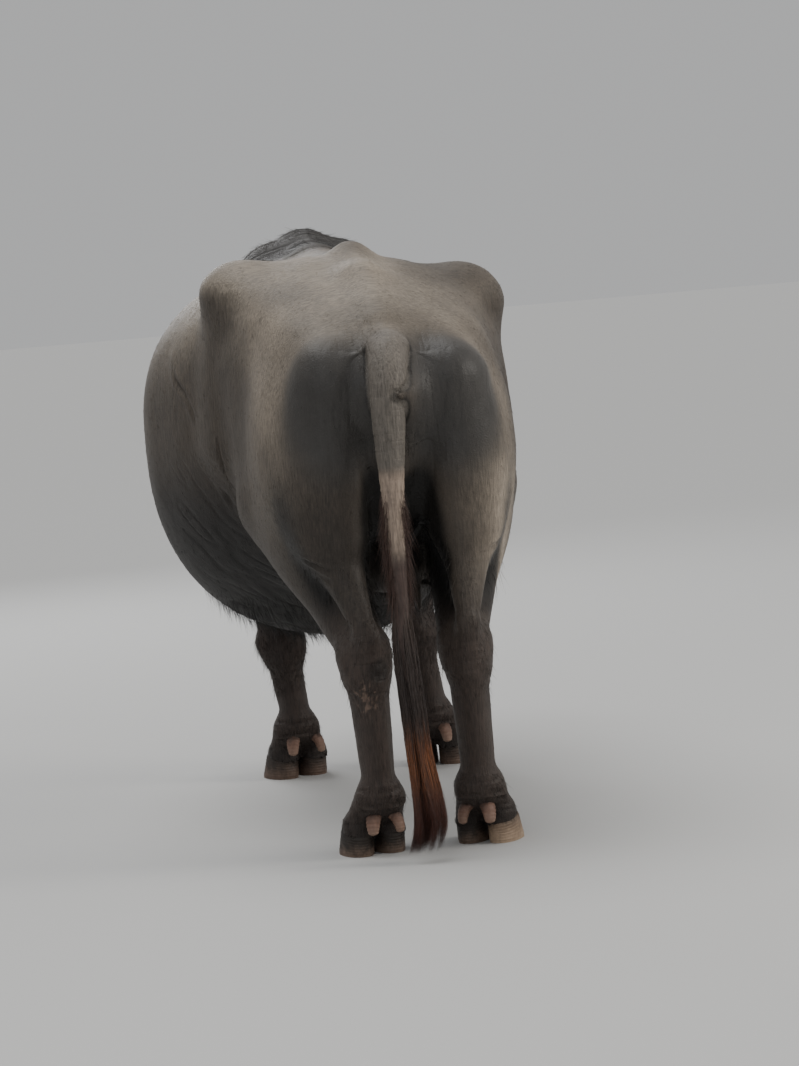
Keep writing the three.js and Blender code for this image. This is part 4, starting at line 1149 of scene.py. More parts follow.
def hidePaint(p, n):
    ahead, left, up = -p[:, 1], p[:, 0], p[:, 2]
    tint = np.tile(hideColours["grey"], (len(p), 1))
    broad = noise(p, 190, 41) * 0.5 + noise(p, 75, 42) * 0.3
    # Painted highlight: upward-facing parts high on the body take the dusty colour as if lit from above, less
    # so on the right side
    lit = above(n[:, 2], -0.15, 0.85) * above(up, 960, 280)
    tint = paint(tint, "dustAndHighlight", lit * (0.9 + broad) * mix(1, 0.5, smooth(-left / 120)))
    # Painted highlight in the dusty colour along the ridges from the top of the rump down to the pin bones,
    # on both sides
    ridge, _ = fromLine(p, [at(430, 0, 1357), at(250, -60, 1290), at(110, -150, 1190), at(30, -200, 1100)])
    tint = paint(tint, "dustAndHighlight", 0.6 * np.exp(-((ridge / 30) ** 2)))
    ridge, _ = fromLine(p, [at(430, 0, 1357), at(250, 70, 1290), at(130, 160, 1190)])
    tint = paint(tint, "dustAndHighlight", 0.4 * np.exp(-((ridge / 38) ** 2)))
    streak = [at(180, 240, 1180), at(120, 250, 1080), at(100, 274, 960), at(104, 290, 850), at(160, 276, 690)]
    ridge, share = fromLine(p, streak)
    tint = paint(tint, "tan", mix(0.9, 0.2, share**0.8) * np.exp(-((ridge / 108) ** 2)) * (0.85 + broad))
    ridge, share = fromLine(p, [at(40, -222, 990), at(14, -238, 860), at(50, -240, 730), at(90, -210, 600)])
    tint = paint(tint, "tan", 0.95 * np.exp(-((ridge / 84) ** 2)) * (0.9 + broad))
    tint = paint(tint, "pale", 0.4 * np.exp(-((ridge / 66) ** 2)) * above(share, 0.35, 0.3))
    spine = np.exp(-((left / 40) ** 2)) * above(ahead, 300, 80) * above(n[:, 2], 0.3, 0.4)
    tint = paint(tint, "grey", 0.7 * spine)
    # Painted shade: the body darkens to dark and then black towards the belly, and the lower hind thighs
    # darken too
    low = below(up, 980, 260) * above(ahead, 400, 140) * below(ahead, 1560, 200)
    tint = paint(tint, "dark", 0.95 * low)
    under = below(up, 880, 260) * above(ahead, 330, 140) * below(ahead, 1500, 200)
    tint = paint(tint, "black", 0.85 * under)
    thigh = below(up, 960, 300) * below(ahead, 430, 120) * above(left, -60, 120)
    tint = paint(tint, "dark", 0.5 * thigh)
    tint = paint(tint, "dark", above(ahead, 900, 200) * mix(0.9, 0.5, above(ahead, 1450, 300)))
    tint = paint(tint, "black", 0.4 * above(ahead, 950, 200) * above(up, 1200, 100))
    for side in (1, -1):
        patch = barePatch(p, side) * above(p[:, 1], -60, 60)
        tint = paint(tint, "bare", 0.95 * patch)
    # Painted shade in black between the hind thighs and inside the right thigh
    cleft = within(p, at(60, 0, 740), (230, 66, 220), 0.4) * (up < 930)
    tint = paint(tint, "black", 0.95 * cleft)
    inner = within(p, at(70, -60, 600), (170, 74, 120), 0.4)
    tint = paint(tint, "black", 0.95 * inner)
    shade = below(up, 640, 120) * above(ahead, 200, 60) * below(ahead, 1300, 60)
    tint = paint(tint, "black", 0.75 * shade)
    # Painted shade in black in the narrow gap on both sides of the tail
    tint = paint(tint, "black", 0.95 * smooth(2.0 * tailGap(p)))
    tint = paint(tint, "leg", 0.8 * below(up, 600, 160) * (ahead < 300))
    tint = paint(tint, "leg", 0.9 * below(up, 560, 120) * (ahead > 1150))
    tint = paint(tint, "dark", 0.55 * below(up, 120, 60))
    onTail = tailShare(p)
    tint = paint(tint, "tail", 0.85 * onTail * above(up, 820, 60))
    tint = paint(tint, "tailPale", onTail * below(up, 876, 34) * above(up, 600, 130))
    tint = paint(tint, "tailLow", onTail * below(up, 700, 60))
    scar = within(p, at(-50, 118, 362), (20, 20, 30), 0.6) * smooth(noise(p * (1, 1, 0.5), 5, 43) * 4 - 0.4)
    tint = paint(tint, "scar", 0.6 * scar)
    tint = paint(tint, "dark", 0.7 * within(p, at(-48, 89, 421), (22, 22, 22), 0.6))
    q = headPlace(p)
    face = above(q[:, 0], -10, 60) * (ahead > 1680)
    tint = paint(tint, "faceGrey", 0.85 * face)
    # Painted shade in black along the seam of the lips
    mouth, _ = fromLine(p, mouthLine)
    tint = paint(tint, "black", 0.95 * np.exp(-((mouth / 5) ** 2)) * face)
    tint = paint(tint, "muzzle", face * above(q[:, 0], 430, 40))
    for side in (1, -1):
        ring = np.linalg.norm(p - eyeCentre(side), axis=1)
        tint = paint(tint, "black", 0.65 * below(ring, 50, 26) * (ahead > 1680))
    # Painted shade where the relief sinks into folds and creases, and painted light where it rises
    shadeOfFold = np.clip(1 + 0.035 * relief, 0.72, 1.12)
    return tint * shadeOfFold[:, None] * (1 + 0.2 * broad)[:, None]


def bareShare(p):
    share = np.zeros(len(p))
    for side in (1, -1):
        share += barePatch(p, side)
    share += smooth((headPlace(p)[:, 0] - 440) / 30) * (p[:, 1] < -1700)
    share += within(p, at(0, 0, 800), (120, 60, 260), 0.5)
    share += within(p, udderPlace, (150, 150, 130), 0.3)
    return np.clip(share, 0, 1)


# The hide's colours carry the painted highlight and shade from above
skinTint = hidePaint(skinPoints, skinNormals)
setColour(skinMesh, "hideColour", skinTint)
setValue(skinMesh, "bare", bareShare(skinPoints))


# Materials
def newMaterial(name, **values):
    material = bpy.data.materials.new(name)
    material.use_nodes = True
    tree = material.node_tree
    shader = tree.nodes["Principled BSDF"]
    for key, value in values.items():
        shader.inputs[key].default_value = value
    return material, tree, shader


def addNode(tree, kind, **settings):
    made = tree.nodes.new("ShaderNode" + kind)
    for key, value in settings.items():
        if hasattr(made, key):
            setattr(made, key, value)
        else:
            made.inputs[key.replace("_", " ")].default_value = value
    return made


def joined(tree, a, b):
    tree.links.new(a, b)


# A pattern in the object's own coordinates, scaled along each axis
def pattern(tree, kind, scale, **settings):
    place = addNode(tree, "TexCoord")
    scaled = addNode(tree, "Mapping")
    scaled.inputs["Scale"].default_value = scale
    joined(tree, place.outputs["Object"], scaled.inputs["Vector"])
    made = addNode(tree, kind, **settings)
    joined(tree, scaled.outputs[0], made.inputs["Vector"])
    return made


def ranged(tree, value, low, high, fromLow=0.0, fromHigh=1.0):
    made = addNode(tree, "MapRange")
    made.inputs["From Min"].default_value = fromLow
    made.inputs["From Max"].default_value = fromHigh
    made.inputs["To Min"].default_value = low
    made.inputs["To Max"].default_value = high
    joined(tree, value, made.inputs["Value"])
    return made.outputs["Result"]


def maths(tree, operation, a, b):
    made = addNode(tree, "Math", operation=operation)
    for k, value in enumerate((a, b)):
        if isinstance(value, (int, float)):
            made.inputs[k].default_value = value
        else:
            joined(tree, value, made.inputs[k])
    return made.outputs[0]


def tinted(tree, colourSocket, factor):
    made = addNode(tree, "VectorMath", operation="SCALE")
    joined(tree, colourSocket, made.inputs[0])
    joined(tree, factor, made.inputs["Scale"])
    return made.outputs[0]


def bumped(tree, shader, *layers):
    last = None
    for height, distance, strength in layers:
        bump = addNode(tree, "Bump")
        bump.inputs["Distance"].default_value = distance
        bump.inputs["Strength"].default_value = strength
        joined(tree, height, bump.inputs["Height"])
        if last:
            joined(tree, last, bump.inputs["Normal"])
        last = bump.outputs["Normal"]
    joined(tree, last, shader.inputs["Normal"])


hideLook = {
    "roughness": (0.50, 0.68),
    "hairWidth": 300,  # streaks to the metre, across the lie of the coat
    "hairLength": 26,  # and along it
    "streakTone": 1.9,
    "streakDepth": 0.0011,
    "poreDepth": 0.0006,
}


def hideMaterial():
    material, tree, shader = newMaterial(
        "hide", **{"Specular IOR Level": 0.3, "Sheen Weight": 0.06, "Sheen Roughness": 0.5}
    )
    shader.inputs["Sheen Tint"].default_value = (0.72, 0.66, 0.60, 1)
    wide, long = hideLook["hairWidth"], hideLook["hairLength"]
    down = pattern(tree, "TexNoise", (wide, wide, long), Scale=1.0, Detail=3.0, Roughness=0.6)
    over = pattern(tree, "TexNoise", (long, wide, wide), Scale=1.0, Detail=3.0, Roughness=0.6)
    facing = addNode(tree, "SeparateXYZ")
    joined(tree, addNode(tree, "NewGeometry").outputs["Normal"], facing.inputs[0])
    level = maths(tree, "ABSOLUTE", facing.outputs["Z"], 0.0)
    onTop = ranged(tree, level, 0.0, 1.0, 0.5, 0.85)
    streak = addNode(tree, "Mix")
    joined(tree, onTop, streak.inputs["Factor"])
    joined(tree, down.outputs["Fac"], streak.inputs["A"])
    joined(tree, over.outputs["Fac"], streak.inputs["B"])
    bare = addNode(tree, "Attribute", attribute_name="bare").outputs["Fac"]
    coated = maths(tree, "SUBTRACT", 1.0, maths(tree, "MULTIPLY", bare, 0.8))
    lifted = maths(tree, "MULTIPLY", maths(tree, "SUBTRACT", streak.outputs["Result"], 0.5), coated)
    mottle = pattern(tree, "TexNoise", (1, 1, 1), Scale=14.0, Detail=5.0, Roughness=0.62)
    speck = pattern(tree, "TexNoise", (1, 1, 1), Scale=95.0, Detail=2.0)
    pores = pattern(tree, "TexVoronoi", (1, 1, 1), Scale=330.0)
    creased = pattern(tree, "TexVoronoi", (1, 1, 1), Scale=120.0, feature="DISTANCE_TO_EDGE")
    streaked = maths(tree, "MULTIPLY", lifted, hideLook["streakTone"])
    factor = maths(tree, "ADD", ranged(tree, mottle.outputs["Fac"], 0.72, 1.28), streaked)
    factor = maths(tree, "MULTIPLY", factor, ranged(tree, speck.outputs["Fac"], 0.9, 1.1))
    base = addNode(tree, "Attribute", attribute_name="hideColour").outputs["Color"]
    joined(tree, tinted(tree, base, factor), shader.inputs["Base Color"])
    low, high = hideLook["roughness"]
    smoother = maths(tree, "MULTIPLY", bare, 0.1)
    rough = maths(tree, "SUBTRACT", ranged(tree, mottle.outputs["Fac"], low, high), smoother)
    joined(tree, rough, shader.inputs["Roughness"])
    bumped(
        tree, shader,
        (creased.outputs["Distance"], 0.0016, 0.35),
        (pores.outputs["Distance"], hideLook["poreDepth"], 0.6),
        (maths(tree, "MULTIPLY", streak.outputs["Result"], coated), hideLook["streakDepth"], 0.75),
    )
    return material


hide = hideMaterial()
piece(
    "skin", skinMesh, "hide",
    "torso", "neck", "head", "udder", "tail", "ear_left", "ear_right", *legs,
)
skinMesh.materials.clear()
skinMesh.materials.append(hide)
print("skin done")

# Hooves: two claws to a foot under a sloping rim, with growth rings round each wall
hoofShape = {
    "sides": 72,
    "rings": 54,
    "cleft": 2.5,  # half the gap between two claws, in millimetres
    "tuck": 5,  # how far each wall runs up under the skin
}


def clawMesh(name, leg, inner):
    claw, toe = leg["width"] / 4, leg["length"] / 2
    sides, count = hoofShape["sides"], hoofShape["rings"]
    turn = (np.arange(sides) + 0.5) / sides * 2 * np.pi
    c, d = np.cos(turn), np.sin(turn)
    rings = []
    mid = (rimFront + rimBack) / 2
    heights = np.concatenate([[0, 0, 0.012, 0.03], np.linspace(0.06, 1, count - 4)])
    for k, v in enumerate(heights):
        z = np.full(sides, v * leg["rise"])
        for _ in range(3):
            front = mix(toe, rimFront + 2, z / leg["rise"])
            back = rimBack - 3 + 0.06 * z
            along = (front + back) / 2 + (front - back) / 2 * np.sign(c) * np.abs(c) ** 0.86
            top = (leg["rise"] + leg["heelRise"]) / 2 + (along - mid) * math.tan(leg["slope"])
            z = v * (top + hoofShape["tuck"])
        half = claw - hoofShape["cleft"] - 0.02 * z
        pointed = np.where(c > 0, 1 - 0.22 * c * c, 1 - 0.10 * c * c)
        across = claw + half * np.sign(d) * np.abs(d) ** 0.8 * pointed - 5 * np.maximum(c, 0) ** 2
        centre = (front + back) / 2
        low = 1 - smooth(z / 9)  # the bottom edge turns in
        wall = 1 - 0.035 * low + (0.010 * np.sin(v * 46) + 0.006 * np.sin(v * 103 + 2 * d)) * (0.3 + v)
        wall = wall - 0.05 * above(v, 0.93, 0.07)
        if k == 0:
            wall = wall * 0.93
        along = centre + (along - centre) * wall
        across = claw + (across - claw) * wall
        p = inFoot(leg, 0, 0, 0) + np.outer(along, toeWay(leg))
        p = p + np.outer(np.maximum(across, hoofShape["cleft"]) * inner, np.cross(toeWay(leg), -zAxis))
        p[:, 2] = z
        chips = noise(p, 7, 51) * 0.5 + noise(p, 3, 52) * 0.25
        p = p + np.outer(chips * (z > 1), unit(toeWay(leg)) * 0.4)
        rings.append(p)
    return loftMesh(name, np.array(rings))


def dewclawMesh(name, leg, inner):
    height = 86 if leg["hind"] else 100
    centre = mix(leg["fetlock"], inFoot(leg, -24, 0, 40), 0.3)
    centre[2] = height
    back = unit(-toeWay(leg) + (inFoot(leg, 0, inner, 0) - leg["foot"]) * 0.78)
    skinPlace = castOut(leg["field"], centre, back, 120)[0]
    root = skinPlace - back * 13
    line = [
        root + zAxis * 12,
        skinPlace + back * 4 - zAxis * 2,
        skinPlace + back * 11 - zAxis * 20,
        skinPlace + back * 12 - zAxis * 36,
    ]
    steps = np.linspace(0, 1, 40)
    tip = np.sqrt(np.clip(1 - ((steps - 0.86) / 0.14).clip(0) ** 2, 0.003, 1))
    ringed = 1 + 0.035 * np.sin(steps * 44 + 0.7 * inner) + 0.02 * np.sin(steps * 97)
    wide = mix(17.5, 10, steps**2) * tip * ringed
    thick = mix(12.5, 8, steps**2) * tip * ringed
    return tubeMesh(name, curvePoints(line, steps), np.cross(back, zAxis), wide, thick, 36)


# How high each point is on its own piece, from 0 to 1, for the materials
def setHeight(mesh):
    z = coordinates(mesh)[:, 2]
    setValue(mesh, "height", (z - z.min()) / max(np.ptp(z), 1e-6))


def hoofMaterial(name, upper, lower, dust, level):
    material, tree, shader = newMaterial(name, **{"Specular IOR Level": 0.4})
    height = addNode(tree, "Attribute", attribute_name="height").outputs["Fac"]
    ragged = pattern(tree, "TexNoise", (1, 1, 1), Scale=46.0, Detail=6.0, Roughness=0.7)
    fine = pattern(tree, "TexNoise", (160, 160, 26), Scale=1.0, Detail=4.0)
    rings = pattern(tree, "TexNoise", (18, 18, 620), Scale=1.0, Detail=3.0)
    line = maths(tree, "ADD", height, ranged(tree, ragged.outputs["Fac"], -0.5, 0.5))
    ramp = addNode(tree, "ValToRGB")
    stops = ramp.color_ramp
    stops.elements[0].position, stops.elements[0].color = 0.0, (*dust, 1)
    stops.elements[1].position, stops.elements[1].color = 1.0, (*upper, 1)
    middle = stops.elements.new(level)
    middle.color = (*lower, 1)
    joined(tree, line, ramp.inputs["Fac"])
    grained = ranged(tree, fine.outputs["Fac"], 0.7, 1.3)
    ringed = ranged(tree, rings.outputs["Fac"], 0.82, 1.18)
    factor = maths(tree, "MULTIPLY", grained, ringed)
    joined(tree, tinted(tree, ramp.outputs["Color"], factor), shader.inputs["Base Color"])
    joined(tree, ranged(tree, ragged.outputs["Fac"], 0.45, 0.8), shader.inputs["Roughness"])
    bumped(
        tree, shader,
        (rings.outputs["Fac"], 0.0014, 0.7),
        (fine.outputs["Fac"], 0.0009, 0.6),
    )
    return material


darkHoof = hoofMaterial("darkHoof", colour(28, 24, 21), colour(46, 38, 32), colour(104, 86, 73), 0.4)
paleHoof = hoofMaterial("paleHoof", colour(60, 50, 43), colour(130, 110, 91), colour(160, 138, 116), 0.45)
foreHoof = hoofMaterial("foreHoof", colour(30, 26, 23), colour(56, 45, 38), colour(98, 79, 67), 0.5)
dewHorn = hoofMaterial("dewclawHorn", colour(46, 36, 31), colour(112, 85, 72), colour(136, 112, 97), 0.55)
for legName, leg in legs.items():
    for inner in (1, -1):
        where = legName.replace("_leg", "") + ("_outer" if inner == leg["side"] else "_inner")
        clawName, dewName = "claw_" + where, "dewclaw_" + where
        claw = piece(clawName + "_wall", clawMesh(clawName, leg, inner), "hoof", clawName)
        pale = where == "hind_right_outer"
        claw.data.materials.append(paleHoof if pale else darkHoof if leg["hind"] else foreHoof)
        dew = piece(dewName + "_horn", dewclawMesh(dewName, leg, inner), "dewclaw", dewName)
        dew.data.materials.append(dewHorn)
        setHeight(claw.data)
        setHeight(dew.data)
print("hooves done")

# Horns: tight curls with close rings towards their roots
hornShape = {"turns": 1.06, "steps": 260, "sides": 48, "ringDepth": 0.10}


def hornMesh(name, side):
    t = np.linspace(0, 1, 15)
    turn = math.radians(222) + 2 * np.pi * hornShape["turns"] * t
    reach = mix(70, 34, t)
    back, up = 50 + reach * np.cos(turn), 58 + reach * np.sin(turn)
    out = hornRoot[1] - 16 + 78 * np.sin(np.pi * np.clip(t * 0.78, 0, 1)) ** 0.9
    places = [inHead(hornRoot[0] - u, side * o, hornRoot[2] - b) for u, o, b in zip(up, out, back)]
    s = np.linspace(0, 1, hornShape["steps"])
    line = curvePoints(places, s)
    rings = np.abs(np.sin(s**0.9 * 24 * np.pi)) ** 0.6 - 0.5
    ridge = 1 + hornShape["ringDepth"] * rings * (1 - s) ** 0.8
    wide = mix(36, 7, s**1.1) * ridge
    tip = np.sqrt(np.clip(1 - ((s - 0.985) / 0.015).clip(0) ** 2, 0.002, 1))
    mesh = tubeMesh(name, line, faceAlong, wide * tip, wide * mix(0.72, 0.9, s) * tip, hornShape["sides"])
    co = toBody(coordinates(mesh))
    co = co + (noise(co, 9, 61) * 0.5)[:, None] * unit(vertexNormals(mesh))
    setPoints(mesh, co)
    share = np.concatenate([np.repeat(s, hornShape["sides"]), [0, 1]])
    setValue(mesh, "along", share)
    return mesh


def hornMaterial():
    material, tree, shader = newMaterial("horn", **{"Specular IOR Level": 0.5})
    along = addNode(tree, "Attribute", attribute_name="along").outputs["Fac"]
    grain = pattern(tree, "TexNoise", (1, 1, 1), Scale=160.0, Detail=5.0, Roughness=0.7)
    blotch = pattern(tree, "TexNoise", (1, 1, 1), Scale=24.0, Detail=4.0)
    ramp = addNode(tree, "ValToRGB")
    stops = ramp.color_ramp
    stops.elements[0].color = (*colour(44, 39, 35), 1)
    stops.elements[1].color = (*colour(17, 16, 15), 1)
    uneven = ranged(tree, blotch.outputs["Fac"], -0.3, 0.3)
    joined(tree, maths(tree, "ADD", along, uneven), ramp.inputs["Fac"])
    grained = ranged(tree, grain.outputs["Fac"], 0.72, 1.28)
    joined(tree, tinted(tree, ramp.outputs["Color"], grained), shader.inputs["Base Color"])
    joined(tree, ranged(tree, along, 0.62, 0.34), shader.inputs["Roughness"])
    bumped(tree, shader, (grain.outputs["Fac"], 0.0010, 0.6), (blotch.outputs["Fac"], 0.0016, 0.4))
    return material


# Eyes: dark brown with a level oval pupil, under a clear wet surface
eyeLook = {"iris": 12.5, "pupil": (5.6, 2.9), "corneaRise": 1.4}


def eyeMesh(name, side):
    outward, along, over = eyeFrame(side)
    radius = body["eyeRadius"]
    tilt = np.arccos(np.linspace(1, -1, 66)[1:-1])
    turn = np.arange(96) / 96 * 2 * np.pi
    rings = []
    for a in tilt:
        rise = eyeLook["corneaRise"] * math.exp(-((a * radius / 11) ** 2))
        direction = np.outer(np.cos(turn), along) * math.sin(a) + np.outer(np.sin(turn), over) * math.sin(a)
        rings.append(eyeCentre(side) + (direction + outward * math.cos(a)) * (radius - 0.4 + rise))
    mesh = loftMesh(name, np.array(rings))
    d = toBody(coordinates(mesh)) - eyeCentre(side)
    u, v = d @ along, d @ over
    iris = np.hypot(u, v)
    front = d @ outward > 0
    tint = np.tile(colour(26, 19, 16), (len(d), 1))
    streaks = 0.8 + 0.4 * np.abs(np.sin(np.arctan2(v, u) * 23))
    brown = colour(40, 22, 11) * streaks[:, None]
    tint = mix(tint, brown, (smooth((eyeLook["iris"] - iris) / 1.2) * front)[:, None])
    pupil = np.hypot(u / eyeLook["pupil"][0], v / eyeLook["pupil"][1])
    tint = mix(tint, colour(6, 6, 8), (below(pupil, 1.15, 0.2) * front)[:, None])
    setColour(mesh, "eyeColour", tint)
    return mesh


def eyeMaterial():
    material, tree, shader = newMaterial(
        "eye", **{"Roughness": 0.12, "Coat Weight": 1.0, "Coat Roughness": 0.02, "Specular IOR Level": 0.6}
    )
    base = addNode(tree, "Attribute", attribute_name="eyeColour").outputs["Color"]
    veins = pattern(tree, "TexNoise", (1, 1, 1), Scale=420.0, Detail=4.0)
    veined = ranged(tree, veins.outputs["Fac"], 0.75, 1.25)
    joined(tree, tinted(tree, base, veined), shader.inputs["Base Color"])
    return material


hornFinish, eyeFinish = hornMaterial(), eyeMaterial()
for word, side in (("left", 1), ("right", -1)):
    horn = piece("horn_" + word + "_curl", hornMesh("horn_" + word, side), "horn", "horn_" + word)
    horn.data.materials.append(hornFinish)
    eye = piece("eye_" + word + "_ball", eyeMesh("eye_" + word, side), "eye", "eye_" + word)
    eye.data.materials.append(eyeFinish)


# Smooth lids over the skin's own, with a row of lashes on the upper one
def lidMesh(name, side, upper):
    s = np.linspace(0, 1, 72)
    line = curvePoints(lidLine(side, upper), s)
    size = lidThick(upper, s) - 1.1
    size = size * (1 + 0.05 * np.sin(s * 70)) * np.sqrt(np.clip(np.minimum(s, 1 - s) / 0.05, 0.02, 1))
    mesh = tubeMesh(name, line, eyeFrame(side)[0], size, size, 20)
    setColour(mesh, "hideColour", np.tile(hideColours["muzzle"], (len(mesh.vertices), 1)))
    setValue(mesh, "bare", np.ones(len(mesh.vertices)))
    mesh.materials.append(hide)
    return mesh


# The leaf of each ear: dark outside, paler in its cup, with painted shade deep in the cup near the root
def earMesh(name, side):
    def grow(t):
        return -4.0 + 5.2 * above(t, 0.02, 0.1) - 1.6 * above(t, 0.9, 0.1)

    mesh = loftMesh(name, earRings(side, 0.02, 1.0, 90, 72, grow))
    co = toBody(coordinates(mesh))
    n = vertexNormals(mesh)
    t, q, lift, _ = onEar(co, side)
    ribs = 0.5 * np.sin(q * 13 + 1.5 * t) * above(t, 0.2, 0.2) * (lift > 0)
    co = co + n * (ribs + 0.5 * noise(co, 22, 81) + 0.25 * noise(co, 8, 82))[:, None]
    setPoints(mesh, co)
    inside = smooth(lift / 2) * smooth((0.92 - np.abs(q)) / 0.2) * above(t, 0.16, 0.1)
    tint = np.tile(hideColours["faceGrey"], (len(co), 1)) * (1 + 0.25 * noise(co, 26, 83))[:, None]
    tint = mix(tint, hideColours["earLining"], (0.55 * inside)[:, None])
    tint = mix(tint, hideColours["black"], (0.5 * smooth((np.abs(q) - 0.9) / 0.1))[:, None])
    # Painted shade in black deep in the cup of the ear near its root
    deep = below(t, 0.42, 0.24) * smooth(lift / 2) * smooth((1.0 - np.abs(q)) / 0.3)
    tint = mix(tint, hideColours["black"], (0.85 * deep)[:, None])
    setColour(mesh, "hideColour", tint)
    setValue(mesh, "bare", 0.6 * inside)
    mesh.materials.append(hide)
    return mesh


for word, side in (("left", 1), ("right", -1)):
    piece("upper_lid_" + word, lidMesh("upper_lid_" + word, side, True), "hide")
    piece("lower_lid_" + word, lidMesh("lower_lid_" + word, side, False), "hide")
    piece("ear_leaf_" + word, earMesh("ear_leaf_" + word, side), "hide", "ear_" + word)
print("horns, eyes and ears done")


# Hair. Each tuft is a thin three-sided spike with its root in the skin.
hairShare = 1
bakePatch = 0.003  # the size of each tuft's place on the unwrap


# Where a root lies on an unwrap of the body's own shape, for the bake of its colours
def unwrapPlace(p):
    ahead, left, up = -p[:, 1], p[:, 0], p[:, 2]
    u = (np.arctan2(up - 900, left) / (2 * np.pi) + 0.5) * 0.48
    v = np.clip((ahead + 150) / 1800, 0, 1) * 0.98
    q = headPlace(p)
    inHeadZone = ahead > 1560
    u = np.where(inHeadZone, 0.5 + (np.arctan2(q[:, 2] + 100, q[:, 1]) / (2 * np.pi) + 0.5) * 0.28, u)
    v = np.where(inHeadZone, 0.5 + np.clip((q[:, 0] + 420) / 1000, 0, 1) * 0.48, v)
    for k, leg in enumerate(legs.values()):
        centre = mix(leg["foot"], leg["joint"], np.clip(up / 440, 0, 1.4)[:, None])
        near = (up < 620) & (np.linalg.norm((p - centre)[:, :2], axis=1) < 150)
        around = np.arctan2(p[:, 1] - centre[:, 1], left - centre[:, 0]) / (2 * np.pi) + 0.5
        u = np.where(near, 0.5 + 0.125 * k + around * 0.118, u)
        v = np.where(near, np.clip(up / 640, 0, 1) * 0.47, v)
    onTail = (p[:, 1] > 70) & (np.abs(left) < 90)
    u = np.where(onTail, 0.82 + (np.arctan2(p[:, 1] - 115, left) / (2 * np.pi) + 0.5) * 0.16, u)
    v = np.where(onTail, 0.5 + np.clip(up / 1200, 0, 1) * 0.48, v)
    return np.stack([u, v], 1)


# roots and outs are (n, 3) in the body's frame, widths (n,) in millimetres.
# path(t) gives each tuft's offset from its root at share t of its length.
def tuftMesh(name, roots, outs, path, widths, segments, rgb, flat=0.55):
    count = len(roots)
    rows = []
    shares = np.linspace(0, 1, segments + 1)
    for t in shares:
        offset = path(t)
        ahead = path(min(t + 0.5 / segments, 1.0)) - path(max(t - 0.5 / segments, 0.0))
        tangent = unit(ahead)
        across = unit(np.cross(tangent, outs))
        lift = np.cross(across, tangent)
        half = widths * (0.55 + 0.45 * min(1, 6 * t)) * (1 - t**1.6) / 2
        centre = roots + offset
        if t == 1.0:
            rows.append(centre[:, None, :])
            continue
        ring = [
            centre + across * (half * c)[:, None] + lift * (half * s * flat * 2)[:, None]
            for c, s in ((1, -0.3), (-1, -0.3), (0, 0.6))
        ]
        rows.append(np.stack(ring, 1))
    points = np.concatenate(rows, 1)
    each = points.shape[1]
    faces = [(0, 2, 1)]
    for k in range(segments - 1):
        a = 3 * k
        for i in range(3):
            j = (i + 1) % 3
            faces += [(a + i, a + j, a + 3 + j), (a + i, a + 3 + j, a + 3 + i)]
    a = 3 * (segments - 1)
    faces += [(a, a + 1, a + 3), (a + 1, a + 2, a + 3), (a + 2, a, a + 3)]
    faces = np.array(faces)
    allFaces = (faces[None] + (np.arange(count) * each)[:, None, None]).reshape(-1, 3)
    mesh = meshFrom(name, toFrame(points.reshape(-1, 3)), allFaces)
    if rgb.ndim == 2:
        rgb = np.repeat(rgb[:, None, :], each, 1)
    setColour(mesh, "hairColour", rgb.reshape(-1, 3))
    place = unwrapPlace(roots)
    rowOf = np.append(np.repeat(shares[:-1], 3), 1.0)
    column = np.append(np.tile([0.0, 1.0, 0.5], segments), 0.5)
    spot = place[:, None, :] + bakePatch * np.stack([column, rowOf], 1)[None]
    corners = spot.reshape(-1, 2)[allFaces.ravel()]
    layer = mesh.uv_layers.new(name="OFBake")
    layer.data.foreach_set("uv", corners.astype(np.float32).ravel())
    return mesh


def hairMaterial(name, roughness, grain):
    material, tree, shader = newMaterial(
        name, **{"Specular IOR Level": 0.35, "Sheen Weight": 0.06, "Sheen Roughness": 0.4}
    )
    base = addNode(tree, "Attribute", attribute_name="hairColour").outputs["Color"]
    fine = pattern(tree, "TexNoise", (grain, grain, grain * 0.12), Scale=1.0, Detail=3.0)
    grained = ranged(tree, fine.outputs["Fac"], 0.65, 1.35)
    joined(tree, tinted(tree, base, grained), shader.inputs["Base Color"])
    rough = ranged(tree, fine.outputs["Fac"], roughness - 0.08, roughness + 0.1)
    joined(tree, rough, shader.inputs["Roughness"])
    bumped(tree, shader, (fine.outputs["Fac"], 0.0005, 0.5))
    return material


bodyHair = hairMaterial("bodyHair", 0.5, 420)
tailHair = hairMaterial("tailHair", 0.42, 500)

skinTriangles = trianglesOf(skinMesh)
corner = skinPoints[skinTriangles]
triangleArea = np.linalg.norm(np.cross(corner[:, 1] - corner[:, 0], corner[:, 2] - corner[:, 0]), axis=1) / 2
triangleCentre = corner.mean(1)


# Roots on the skin, drawn by area times how thickly the hair grows there
def rootsOnSkin(draw, count, growth):
    weight = triangleArea * growth(triangleCentre)
    edges = np.cumsum(weight)
    chosen = np.searchsorted(edges, draw.random(count) * edges[-1])
    chosen = np.minimum(chosen, len(edges) - 1)
    a, b = draw.random(count), draw.random(count)
    swap = a + b > 1
    a, b = np.where(swap, 1 - a, a), np.where(swap, 1 - b, b)
    share = np.stack([1 - a - b, a, b], 1)[:, :, None]
    t = skinTriangles[chosen]
    places, n, tint = ((values[t] * share).sum(1) for values in (skinPoints, skinNormals, skinTint))
    return places, unit(n), tint


